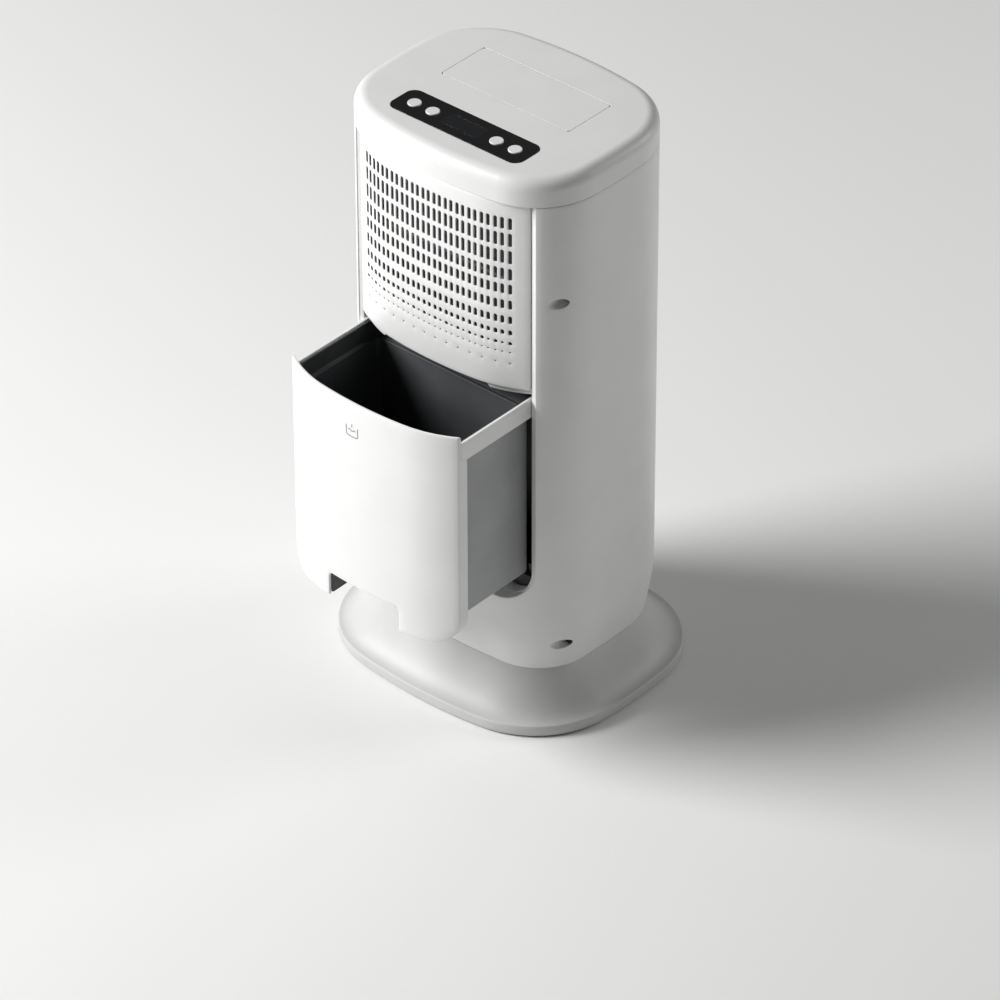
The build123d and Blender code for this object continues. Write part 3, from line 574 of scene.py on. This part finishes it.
def make_base():
    """The wide base: upright edge, hollow flare up to the casing, open underside, rubber pads."""
    half_w, half_d, front, back = flare(0)
    bottom = base_low[2]
    rings = []
    for inset, z in ((3.0, bottom), (1.2, bottom), (0.35, bottom + 0.35), (0.0, bottom + 1.2)):
        rings.append(level(outline(half_w, half_d, front, back, inset), z))
    for k in range(7):
        turn = pi / 2 * k / 6
        inset = BASE_EDGE_R * (1 - cos(turn))
        z = BASE_EDGE - BASE_EDGE_R * (1 - sin(turn))
        rings.append(level(outline(half_w, half_d, front, back, inset), z))
    steps = 28
    for k in range(3, steps + 1):
        way = k / steps
        z = BASE_EDGE + (base_high[2] - BASE_EDGE) * way ** 2
        rings.append(level(outline(*flare(way)), z))
    foot = flare(1)
    rings.append(level(outline(*foot, 0.6), base_high[2]))
    rings.append(level(outline(*foot, 8.0), base_high[2]))
    rings.append(level(outline(*foot, 8.0), base_high[2] - 4.0))
    for way, drop in ((0.9, 8.0), (0.7, 18.0), (0.4, 28.0)):
        rings.append(level(outline(*flare(way), 6.0), base_high[2] - drop - 4.0))
    rings.append(level(outline(half_w, half_d, front, back, 20.0), 10.0))
    rings.append(level(outline(half_w, half_d, front, back, 20.0), bottom))
    count = len(rings[0])
    points, faces = loft(rings, ends=False)
    last = (len(rings) - 1) * count
    for i in range(count):
        j = (i + 1) % count
        faces.append((last + i, last + j, j, i))
    made = piece("base_shroud", points, faces, base_abs, "housing")
    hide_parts("base_plate")

    pads = []
    pad_top = node_box("base_feet")[1]
    for sx in (-1, 1):
        for sy in (-1, 1):
            x = sx * (pad_top[0] - PAD_R)
            y = sy * (pad_top[1] - PAD_R)
            profile = [(0.01, 0), (8.6, 0), (9.3, 0.2), (9.8, 0.7), (PAD_R, 1.4), (PAD_R, pad_top[2] + 0.2),
                       (0.01, pad_top[2] + 0.2)]
            pads.append(turned(profile, (x, y, 0), (0, 0, 1), 48))
    made = piece("foot_pads", *join(*pads), rubber, "housing")
    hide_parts("base_feet")


# ---------------------------------------------------------------- casing
ring = outline(HALF_W, HALF_D, FRONT_RADII, BACK_RADII, counts=(30, 40, 50))
start = len(ring) // 4
walk = [ring[(start - i) % len(ring)] for i in range(len(ring) + 1)]
walk_xy = np.array(walk)
walk_s = np.concatenate([[0], np.cumsum(np.hypot(*np.diff(walk_xy[:, :2], axis=0).T))])
right = np.where((walk_xy[:, 0] > 0) & (walk_xy[:, 1] < SEAM_Y))[0][0]
left = np.where((walk_xy[:, 0] < 0) & (walk_xy[:, 1] < SEAM_Y))[0][-1]


def seam_at(a, b):
    """Distance along the wall where it crosses the rear seam, between two of its points."""
    part = (SEAM_Y - HALF_GAP - walk_xy[a, 1]) / (walk_xy[b, 1] - walk_xy[a, 1])
    return walk_s[a] + part * (walk_s[b] - walk_s[a])


SEAM_RIGHT = seam_at(right - 1, right)
SEAM_LEFT = seam_at(left, left + 1)
front_part = np.where((walk_s > SEAM_RIGHT + 60) & (walk_s < SEAM_LEFT - 60))[0]


def on_wall(s, z, depth=0.0):
    """A point of the casing's wall from the distance along it and the height."""
    x, y, nx, ny = (np.interp(s, walk_s, walk_xy[:, k]) for k in range(4))
    inset = tuck(z) + depth
    return (x - nx * inset, y - ny * inset, z)


def along_wall(x, z=TUCK_TOP):
    """Distance along the wall to where its front stands at x."""
    part = walk_xy[front_part]
    across = part[:, 0] - part[:, 2] * tuck(z)
    return float(np.interp(-x, -across, walk_s[front_part]))


def opening_edge(half, bottom, radius, top):
    """The opening's outline from its upper right down, round and up to the upper left."""
    points = [(half, top + (bottom + radius - top) * k / 30) for k in range(30)]
    for k in range(13):
        turn = pi / 2 * k / 12
        points.append((half - radius + radius * cos(turn), bottom + radius - radius * sin(turn)))
    points += [(half - radius - 2 * (half - radius) * k / 24, bottom) for k in range(1, 24)]
    for k in range(13):
        turn = pi / 2 * k / 12
        points.append((-(half - radius) - radius * sin(turn), bottom + radius - radius * cos(turn)))
    points += [(-half, bottom + radius + (top - bottom - radius) * k / 30) for k in range(1, 31)]
    return points


def make_casing():
    """The wrap-around casing: front opening with its flat rim, four screw recesses, open at the back."""
    top = shell_high[2]
    bottom = shell_low[2]
    outer_edge = opening_edge(OPEN_HALF, OPEN_LOW, OPEN_R, top)
    inner_edge = opening_edge(PANEL_HALF + 0.9, OPEN_LOW + 0.9, 29.0, top)
    loop = []
    rim = {}
    loop += [(SEAM_RIGHT, top + (bottom - top) * k / 80) for k in range(80)]
    width = SEAM_LEFT - SEAM_RIGHT
    parts = round(width / 4)
    loop += [(SEAM_RIGHT + width * k / parts, bottom) for k in range(parts)]
    loop += [(SEAM_LEFT, bottom + (top - bottom) * k / 80) for k in range(80)]
    end = along_wall(-OPEN_HALF)
    parts = round((SEAM_LEFT - end) / 4)
    loop += [(SEAM_LEFT + (end - SEAM_LEFT) * k / parts, top) for k in range(parts)]
    for (x, z), inner in zip(reversed(outer_edge), reversed(inner_edge)):
        rim[len(loop)] = ((x, z), inner)
        loop.append((along_wall(x, z), z))
    begin = along_wall(OPEN_HALF)
    parts = round((begin - SEAM_RIGHT) / 4)
    loop += [(begin + (SEAM_RIGHT - begin) * k / parts, top) for k in range(1, parts)]
    loops = [loop]
    for sx in (-1, 1):
        for z in SCREW_HEIGHTS:
            hole = []
            for k in range(28):
                turn = 2 * pi * k / 28
                height = z + 5.4 * sin(turn)
                hole.append((along_wall(sx * SCREW_X + 5.4 * cos(turn), height), height))
            loops.append(hole)
    centres = [(sx * SCREW_X, z) for sx in (-1, 1) for z in SCREW_HEIGHTS]

    def profile(index, i, p, n):
        if index:
            cx, cz = centres[index - 1]
            turn = 2 * pi * i / 28

            def spot(r, y):
                return (cx + r * cos(turn), y, cz + r * sin(turn), 0)

            face = []
            for r, drop in ((6.1, 0.0), (5.75, 0.12), (5.5, 0.4), (5.4, 0.8)):
                x = cx + r * cos(turn)
                z = cz + r * sin(turn)
                s = along_wall(x, z)
                spot_on = on_wall(s, z)
                if drop:
                    face.append((spot_on[0], spot_on[1] + drop, spot_on[2], 0))
                else:
                    face.append((s, z, 0.0))
            x = cx + 6.6 * cos(turn)
            z = cz + 6.6 * sin(turn)
            below = [(5.4, 0.0), (5.2, 0.8), (2.2, 1.0), (2.2, 4.0), (6.4, 4.0)]
            return face + [spot(r, SCREW_FLOOR + y) for r, y in below] + [(along_wall(x, z), z, WALL)]
        if i in rim:
            (x, z), (ix, iz) = rim[i]
            face = []
            for k in range(4):
                turn = pi / 2 * k / 3
                q = p + n * (0.9 * (1 - sin(turn)))
                face.append((q.x, q.y, 0.9 * (1 - cos(turn))))
            flat = max(RIM_Y, face_y(p) + 1.2)
            dx = ix - x
            dz = iz - z
            return face + [
                (x, flat - 0.25, z, 0), (x + 0.12 * dx, flat, z + 0.12 * dz, 0),
                (x + 0.85 * dx, flat, z + 0.85 * dz, 0), (ix, flat + 0.5, iz, 0),
                (ix, -77.0, iz, 0), (p.x + n.x * 1.2, p.y + n.y * 1.2, WALL)]
        plain = edge_round(p, n, 0.7, WALL)
        return plain[:4] + [plain[4]] * 5 + [plain[5]]

    def face_y(p):
        return on_wall(p.x, p.y)[1]

    points, faces = slab(loops, on_wall, profile, (7.0, 9.0), 3.4)
    made = piece("casing_moulding", points, faces, white_abs, "housing")
    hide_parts("outer_shell")


rear = np.array(sorted((p for p in ring if p[1] > 70), key=lambda p: p[0]))
rear_right = rear[rear[:, 0] > 0]
REAR_HALF = float(np.interp(-SEAM_Y - HALF_GAP, -rear_right[:, 1], rear_right[:, 0]))


def on_back(x, z, depth=0.0):
    """A point of the rear cover's wall from its distance to the middle and the height."""
    ox, oy, nx, ny = (np.interp(x, rear[:, 0], rear[:, k]) for k in range(4))
    inset = tuck(z) + depth
    return (ox - nx * inset, oy - ny * inset, z)


def circle(x, y, r, count=24):
    """A round hole's outline, clockwise."""
    return [(x + r * cos(-2 * pi * k / count), y + r * sin(-2 * pi * k / count)) for k in range(count)]


def make_rear():
    """The rear cover with its slits, drain hole, socket hole and screw recesses."""
    top = shell_high[2]
    bottom = shell_low[2]
    w = REAR_HALF
    loops = [rounded([(-w, bottom, 0), (w, bottom, 0), (w, top, 0), (-w, top, 0)], 4.0)]
    drain_low, drain_high = node_box("drain_port")
    socket_low, socket_high = node_box("mains_inlet")
    for i in range(9):
        z = 120 + 11 * i
        slit = [(VENT_LEFT, z - 1.8, 1.79), (VENT_RIGHT, z - 1.8, 1.79), (VENT_RIGHT, z + 1.8, 1.79),
                (VENT_LEFT, z + 1.8, 1.79)]
        loops.append(rounded(slit, 5.0, 0.4)[::-1])
    middle_x = (drain_low[0] + drain_high[0]) / 2
    middle_z = (drain_low[2] + drain_high[2]) / 2
    loops.append(circle(middle_x, middle_z, 10.2, 36))
    x0, x1 = socket_low[0] - 0.2, socket_high[0] + 0.2
    z0, z1 = socket_low[2] - 0.2, socket_high[2] + 0.2
    loops.append(rounded([(x0, z0, 2.0), (x1, z0, 2.0), (x1, z1, 2.0), (x0, z1, 2.0)], 4.0)[::-1])
    plain = len(loops)
    centres = [(sx * REAR_SCREW_X, z) for sx in (-1, 1) for z in REAR_SCREW_HEIGHTS]
    loops += [circle(x, z, 4.6) for x, z in centres]

    def profile(index, i, p, n):
        points = edge_round(p, n, 0.7 if index == 0 else 0.4, WALL)
        if index < plain:
            return points[:4] + [points[4]] * 4 + [points[5]]
        cx, cz = centres[index - plain]
        dx = p.x - cx
        dz = p.y - cz

        def spot(grow, y):
            return (cx + dx * grow, y, cz + dz * grow, 0)

        return points[:4] + [spot(1.0, 87.2), spot(0.46, 87.0), spot(0.46, 84.5), spot(1.35, 84.5),
                             (cx + dx * 1.4, cz + dz * 1.4, WALL)]

    points, faces = slab(loops, on_back, profile, (8.0, 9.0), 3.0)
    made = piece("rear_moulding", points, faces, white_abs, "housing")
    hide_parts("rear_cover")


def screw_head(centre, radius):
    """A pan head that faces the front, with a cross recess, on its threaded shank."""
    points = []
    faces = []
    count = 40
    rows = 14
    for k in range(rows + 1):
        r = radius * k / rows
        for i in range(count):
            turn = 2 * pi * i / count
            x = r * cos(turn)
            z = r * sin(turn)
            rise = 2.4 * sqrt(max(0.0, 1 - (r / radius) ** 2 * 0.75))
            if min(abs(x), abs(z)) < 0.55 and max(abs(x), abs(z)) < 2.3:
                rise -= 1.5 * min(1.0, (2.3 - max(abs(x), abs(z))) * 1.6)
            points.append((centre[0] + x, centre[1] - rise, centre[2] + z))
    for k in range(rows):
        for i in range(count):
            j = (i + 1) % count
            a = k * count
            faces.append((a + i, a + j, a + count + j, a + count + i))
    rim = len(points) - count
    for r, y in ((radius, 0.0), (2.0, 0.0), (2.0, 16.0), (0.4, 18.0)):
        start = len(points)
        for i in range(count):
            turn = 2 * pi * i / count
            points.append((centre[0] + r * cos(turn), centre[1] + y, centre[2] + r * sin(turn)))
        for i in range(count):
            j = (i + 1) % count
            faces.append((rim + i, rim + j, start + j, start + i))
        rim = start
    faces.append(tuple(range(rim, rim + count)))
    return points, faces


def make_screws():
    """The casing's and the rear cover's screws."""
    heads = [screw_head((sx * SCREW_X, SCREW_FLOOR + 0.6, z), 4.3) for sx in (-1, 1) for z in SCREW_HEIGHTS]
    # Dark screws: a painted shade for the shade in the casing's screw recesses.
    made = piece("casing_screws", *join(*heads), recess_shade_steel, "housing")
    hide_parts("shell_screws")
    heads = []
    for sx in (-1, 1):
        for z in REAR_SCREW_HEIGHTS:
            points, faces = screw_head((0.0, 0.0, 0.0), 4.1)
            heads.append(([(sx * REAR_SCREW_X - x, 87.4 - y, z + up) for x, y, up in points], faces))
    made = piece("rear_cover_screws", *join(*heads), zinc_steel, "housing")
    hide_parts("rear_screws")


# ---------------------------------------------------------------- grille
def on_front(x, z, depth=0.0):
    """A point of the grille's crowned face."""
    return (x, crown(x, depth), z)


def on_door(x, z, depth=0.0):
    """A point of the bucket's crowned face, where it stands drawn out."""
    return (x, crown(x, depth) - PULL, z)


GRILLE_TALL = 198.4
GRILLE_FIELD = 1.3            # the slotted wall is thinner than the grille's rim
SLOT_W = 3.6
SLOT_PITCH = 13.16
SLOT_PAIR = 6.9
SLOT_PAIRS = 14
FIRST_ROW = 400.3
# rise above the first row and length of the slot, for the two columns of each pair
SLOT_ROWS = (
    (0.0, 0.0, 1.8), (12.0, 1.8, 1.8), (21.6, 2.6, 3.8), (33.1, 5.2, 5.6), (46.8, 8.4, 8.4),
    (63.2, 9.9, 9.9), (79.8, 10.8, 10.8), (95.7, 12.6, 12.6), (114.0, 14.3, 14.3),
    (132.3, 14.3, 14.3), (149.6, 12.6, 12.6),
)


def slot_loop(x, z, length):
    """One upright round-ended slot, or a round hole, clockwise."""
    r = min(SLOT_W, length) / 2
    half = max(length / 2 - r, 0.0)
    points = []
    for k in range(8):
        turn = pi * k / 7
        points.append((x + r * cos(turn), z + half + r * sin(turn)))
    for k in range(8):
        turn = pi + pi * k / 7
        points.append((x + r * cos(turn), z - half + r * sin(turn)))
    if half == 0.0:
        points = [(x + r * cos(2 * pi * k / 14), z + r * sin(2 * pi * k / 14)) for k in range(14)]
    return points[::-1]


def make_grille():
    """The crowned grille: pairs of upright slots that fade to small holes, and two clip tabs below."""
    low = grille_high[2] - GRILLE_TALL
    edge = PANEL_HALF
    top = grille_high[2]
    loops = [rounded([(-edge, low, 1.2), (edge, low, 1.2), (edge, top, 0.6), (-edge, top, 0.6)], 4.0)]
    for pair in range(SLOT_PAIRS):
        x = (pair - (SLOT_PAIRS - 1) / 2) * SLOT_PITCH
        for rise, length_a, length_b in SLOT_ROWS:
            loops.append(slot_loop(x, FIRST_ROW + rise, length_b))
            if pair > 0 and length_a:
                loops.append(slot_loop(x - SLOT_PAIR, FIRST_ROW + rise, length_a))

    def profile(index, i, p, n):
        if index:
            return edge_round(p, n, 0.3, GRILLE_FIELD, 0.2)
        return edge_round(p, n, 0.9, PANEL_T, 0.25)

    panel = slab(loops, on_front, profile, (5.0, 7.0), 1.6, GRILLE_FIELD)
    tab_low = grille_low[2]
    shapes = [panel]
    for sx in (-1, 1):
        loop = rounded([(sx * 64, tab_low, 0.8), (sx * 101.1, tab_low, 0.8), (sx * 101.1, tab_low + 14, 0.4),
                        (sx * 58, tab_low + 14, 0.4), (sx * 58, tab_low + 7, 1.5)], 3.0)
        if sx < 0:
            loop.reverse()

        def on_tab(x, z, depth=0.0):
            return on_front(x, z, PANEL_T + 0.9 + depth)

        def tab_edge(index, i, p, n):
            return edge_round(p, n, 0.5, 2.5, 0.2)

        shapes.append(slab([loop], on_tab, tab_edge, (5.0, 5.0), 2.0))
    made = piece("grille_panel", *join(*shapes), white_abs_smooth, "grille")
    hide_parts("front_grille")


# ---------------------------------------------------------------- bucket
def make_door():
    """The bucket's crowned front with its hand notch and turned-back sides."""
    low = door_low[2]
    high = door_high[2]
    w = PANEL_HALF
    notch = NOTCH_HALF
    corners = [(-w, high, 1.6), (-w, low, DOOR_R), (-notch, low, 2.0), (-notch, NOTCH_TOP, 5.0),
               (notch, NOTCH_TOP, 5.0), (notch, low, 2.0), (w, low, DOOR_R), (w, high, 1.6)]
    loop = rounded(corners, 4.0, 0.12)

    def profile(index, i, p, n):
        grip = abs(p.x) < NOTCH_HALF + 3 and p.y < NOTCH_TOP + 4
        deep = PANEL_T if grip or p.y > RAIL_LOW - 0.4 else RETURN_DEPTH
        points = edge_round(p, n, 1.1, deep, 0.4)
        lip = min(2.6, deep - 0.4)
        points[-1] = (p.x + n.x * 0.4, p.y + n.y * 0.4, deep)
        inner = p + n * PANEL_T
        points.append((p.x + n.x * lip, p.y + n.y * lip, deep))
        points.append((inner.x, inner.y, max(PANEL_T, deep - 0.4)))
        points.append((inner.x, inner.y, PANEL_T))
        return points

    points, faces = slab([loop], on_door, profile, (4.5, 7.0), 3.2)
    made = piece("bucket_face", points, faces, white_abs_smooth, "bucket")
    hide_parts("bucket_front")


def bucket_ring(inset, half, back, front_r, back_r, z):
    """The bucket's outline at one height: crowned front, straight sides, rounded rear corners."""
    points = []
    for k in range(9):
        t = k / 8
        a = Vector((-half, crown(half, inset) + front_r))
        b = Vector((-half, crown(half, inset)))
        c = Vector((-half + front_r, crown(half - front_r, inset)))
        points.append(a * (1 - t) ** 2 + b * 2 * t * (1 - t) + c * t * t)
    for k in range(1, 40):
        x = -half + front_r + (2 * half - 2 * front_r) * k / 40
        points.append(Vector((x, crown(x, inset))))
    points += [Vector((-p.x, p.y)) for p in points[8::-1]]
    side = back - back_r - points[-1].y
    points += [Vector((half, points[-1].y + side * k / 12)) for k in range(1, 12)]
    rear = []
    for k in range(9):
        turn = pi / 2 * k / 8
        rear.append(Vector((half - back_r + back_r * cos(turn), back - back_r + back_r * sin(turn))))
    points += rear
    points += [Vector((half - back_r - 2 * (half - back_r) * k / 20, back)) for k in range(1, 20)]
    points += [Vector((-p.x, p.y)) for p in reversed(rear)]
    points += [Vector((-half, back - back_r - side * k / 12)) for k in range(1, 12)]
    return [(p.x, p.y - PULL, z) for p in points]


def make_tank():
    """The tank: thin walls, a stepped rim, lugs for the float's pin and two grip walls under it."""
    top = tank_high[2]
    ledge = RAIL_LOW + 0.5
    wide = tank_high[0]
    back = tank_high[1] + PULL
    narrow = TANK_HALF
    narrow_back = back - LEDGE_STEP

    def lower(shrink, z):
        half = narrow - shrink
        return bucket_ring(LOW_INSET + shrink, half, narrow_back - shrink, 7.0, max(8.0 - shrink, 2.0), z)

    def upper(shrink, z):
        return bucket_ring(HIGH_INSET + shrink, wide - shrink, back - shrink, 5.0, max(6.0 - shrink, 2.0), z)

    low = TANK_LOW
    rings = [lower(20, low), lower(3.4, low)]
    for k in range(1, 6):
        turn = pi / 2 * k / 5
        rings.append(lower(3.4 * (1 - sin(turn)), low + 3.4 * (1 - cos(turn))))
    rings += [lower(0, z) for z in (220, 280, 335)]
    rings += [lower(0, ledge - 2.6), upper(0.6, ledge - 2.4), upper(0, ledge - 1.8)]
    rings += [upper(0, top - 0.9), upper(0.25, top - 0.25), upper(0.9, top), upper(1.6, top)]
    rings += [upper(2.25, top - 0.25), upper(TANK_WALL, top - 0.9), upper(TANK_WALL, ledge + 0.9)]
    rings += [upper(2.8, ledge + 0.25), upper(3.3, ledge), lower(1.2, ledge), lower(2.0, ledge - 0.2)]
    rings += [lower(TANK_WALL, z) for z in (ledge - 0.9, 300, 240, 190)]
    for k in range(5):
        turn = pi / 2 * k / 4
        rings.append(lower(TANK_WALL + 4 * (1 - cos(turn)), low + TANK_WALL + 4 * (1 - sin(turn))))
    rings.append(lower(24, low + TANK_WALL))
    shapes = [loft(rings)]
    pin_low, pin_high = node_box("float_pin")
    pin_y = (pin_low[1] + pin_high[1]) / 2
    pin_z = (pin_low[2] + pin_high[2]) / 2
    for x in (pin_low[0] + 1.2, pin_high[0] - 1.2):
        loop = rounded([(pin_y - 3.8, low + 2, 0), (narrow_back - 2.4 - PULL, low + 2, 0),
                        (narrow_back - 2.4 - PULL, pin_z + 4, 0), (pin_y - 3.8, pin_z + 4, 3.6)], 3.0)
        hole = circle(pin_y, pin_z, 1.55, 20)

        def on_lug(y, z, depth=0.0):
            return (x + depth - 1.3, y, z)

        def lug_edge(index, i, p, n):
            return edge_round(p, n, 0.3, 2.6, 0.3)

        shapes.append(slab([loop, hole], on_lug, lug_edge, (3.0, 3.0), 1.0))
    for sx in (-1, 1):
        loop = rounded([(-78 - PULL, low + 1, 0), (-104 - PULL, low + 1, 0), (-104 - PULL, tank_low[2], 2.5),
                        (-78 - PULL, tank_low[2], 2.5)], 3.0)

        def on_rib(y, z, depth=0.0):
            return (sx * (NOTCH_HALF + 2.2) - sx * depth, y, z)

        def rib_edge(index, i, p, n):
            return edge_round(p, n, 0.4, 2.2, 0.4)

        shapes.append(slab([loop], on_rib, rib_edge, (4.0, 4.0), 1.5))
    made = piece("water_tank", *join(*shapes), pale_pp, "bucket")
    # The tank's inner faces take a darker copy of its finish: a painted shade for the shade inside the tank.
    made.data.materials.append(charcoal_pp_and_tank_shade)
    paint_tank_inside_shade(made, top, ledge, narrow, wide)
    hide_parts("bucket_tank")


def paint_tank_inside_shade(made, top, ledge, narrow, wide):
    """The tank's inner faces take the darker finish as a painted shade for the shade inside the tank, and the
    grip walls take it too; its outer faces keep the paler one.
    """
    for face in made.data.polygons:
        centre = face.center / MM
        y = centre.y + PULL
        rim = centre.z > ledge - 1.5
        inner_half = (wide if rim else narrow) - 0.9
        inset = (HIGH_INSET if rim else LOW_INSET) + 0.9
        rear = (tank_high[1] + PULL if rim else tank_high[1] + PULL - LEDGE_STEP) - 0.9
        inside = abs(centre.x) < inner_half and crown(centre.x, inset) < y < rear
        if inside and centre.z > TANK_LOW + 1.2 or centre.z < TANK_LOW - 0.4:
            face.material_index = 1


def make_rails():
    """The bucket's frame: one bent rail round its sides and back, level with the tank's rim."""
    low, high = rail_low[2], rail_high[2]
    half = rail_high[0]
    back = rail_high[1] + PULL
    thick = half - tank_high[0] - 0.1
    path = []
    front = crown(half, PANEL_T + 0.2)
    bend = 7
    for k in range(20):
        path.append((half, front + (back - bend - front) * k / 20, 1.0, 0.0))
    for k in range(13):
        turn = pi / 2 * k / 12
        path.append((half - bend + bend * cos(turn), back - bend + bend * sin(turn), cos(turn), sin(turn)))
    for k in range(1, 12):
        path.append((half - bend - 2 * (half - bend) * k / 12, back, 0.0, 1.0))
    path += [(-x, y, -nx, ny) for x, y, nx, ny in reversed(path[:33])]
    r = 0.7
    section = [(0, low + r), (r * 0.3, low + r * 0.3), (r, low), (thick - r, low), (thick, low + r),
               (thick, high - r), (thick - r * 0.3, high - r * 0.3), (thick - r, high), (r, high),
               (r * 0.3, high - r * 0.3), (0, high - r), (0, high - 6), (0, low + 6)]
    rings = [[(x - nx * inset, y - ny * inset - PULL, z) for inset, z in section] for x, y, nx, ny in path]
    made = piece("bucket_rails", *loft(rings), white_abs_smooth, "bucket")
    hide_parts("bucket_frame")


def make_symbol():
    """A small generic sign on the bucket: a tank with its water line and a tick above."""
    x0, z0 = -9.0, 341.0
    strokes = [
        [(-7, 4.5), (-7, -4), (-6.4, -5.6), (-5, -6.4), (0, -6.4), (5, -6.4), (6.4, -5.6), (7, -4), (7, 4.5)],
        [(-4.5, 0.2), (-3, 1.2), (-1.5, 0.2), (0, -0.8), (1.5, 0.2), (3, 1.2), (4.5, 0.2)],
        [(0, 7), (0, 3.6)],
    ]
    shapes = []
    for stroke in strokes:
        left_side = []
        right_side = []
        for i, p in enumerate(stroke):
            before = Vector(stroke[max(i - 1, 0)])
            after = Vector(stroke[min(i + 1, len(stroke) - 1)])
            way = (after - before).normalized()
            side = Vector((-way.y, way.x)) * 0.55
            left_side.append(Vector(p) + side)
            right_side.append(Vector(p) - side)
        rings = []
        for a, b in zip(left_side, right_side):
            ring_points = []
            for q, depth in ((a, 0.25), (a, -0.12), (b, -0.12), (b, 0.25)):
                ring_points.append(on_door(x0 + q.x, z0 + q.y, depth))
            rings.append(ring_points)
        shapes.append(loft(rings))
    made = piece("tank_sign", *join(*shapes), sign_grey, "bucket")


make_base()
make_casing()
make_rear()
make_screws()
make_grille()
make_door()
make_tank()
make_rails()
make_symbol()


# ---------------------------------------------------------------- floor, light and camera
def make_floor():
    """A wide pale paper floor, not part of the object."""
    made, tree, at = new_finish("paper_backdrop_pale")
    fibre = add(tree, "ShaderNodeTexNoise", {"Scale": 1000 / 2.5, "Detail": 4.0}, {"Vector": at})
    tint = add(tree, "ShaderNodeMix", {"data_type": "RGBA", 6: linear("#f2f2f1"), 7: linear("#eeeeed")},
               {0: fibre.outputs[0]})
    shader = add(tree, "ShaderNodeBsdfPrincipled", {"Roughness": 0.85, "IOR": 1.4},
                 {"Base Color": tint.outputs[2]})
    add(tree, "ShaderNodeOutputMaterial", {}, {"Surface": shader.outputs[0]})
    mesh = bpy.data.meshes.new("floor")
    rows = [(-12, -12, 0), (12, -12, 0), (12, 12, 0), (-12, 12, 0)]
    mesh.from_pydata(rows, [], [(0, 1, 2, 3)])
    floor = bpy.data.objects.new("floor", mesh)
    bpy.context.scene.collection.objects.link(floor)
    floor.data.materials.append(made)


def lamp(name, place, aim, size, watts):
    """A round area light in metres and watts, aimed at a point."""
    light = bpy.data.lights.new(name, "AREA")
    light.shape = "DISK"
    light.size = size
    light.energy = watts
    made = bpy.data.objects.new(name, light)
    bpy.context.scene.collection.objects.link(made)
    made.location = place
    made.rotation_euler = (Vector(aim) - Vector(place)).to_track_quat("-Z", "Y").to_euler()


def make_light():
    """A large soft key from the front left, a weak one from behind right, and a dim white surround."""
    world = bpy.data.worlds.new("studio")
    bpy.context.scene.world = world
    world.use_nodes = True
    ground = world.node_tree.nodes["Background"]
    ground.inputs[0].default_value = linear("#ffffff")
    ground.inputs[1].default_value = 0.08
    lamp("soft_key", (-2.45, -2.35, 2.55), (0, 0, 0.3), 2.0, 215)
    lamp("soft_back", (1.7, 2.4, 1.5), (0.1, -0.1, 0.1), 1.3, 27)
    bpy.context.scene.view_settings.view_transform = "Standard"


def make_camera():
    """The camera looks down at the front right edge from far off."""
    turn = 0.71566     # radians round from the front, and up
    rise = 0.60159
    sight = Vector((sin(turn) * cos(rise), -cos(turn) * cos(rise), sin(rise)))
    across = Vector((cos(turn), sin(turn), 0))
    up = sight.cross(across)
    aim = (-sight - across * 0.0040909 - up * 0.0151515).normalized()
    side = aim.cross(up).normalized()
    data = bpy.data.cameras.new("camera")
    data.sensor_width = 36
    data.lens = 237.6
    data.clip_end = 40
    made = bpy.data.objects.new("camera", data)
    bpy.context.scene.collection.objects.link(made)
    lift = side.cross(aim)
    turned_to = Matrix((side, lift, -aim)).transposed().to_4x4()
    made.matrix_world = Matrix.Translation((3.3289, -3.8048, 3.7420)) @ turned_to
    bpy.context.scene.camera = made


make_floor()
make_light()
make_camera()
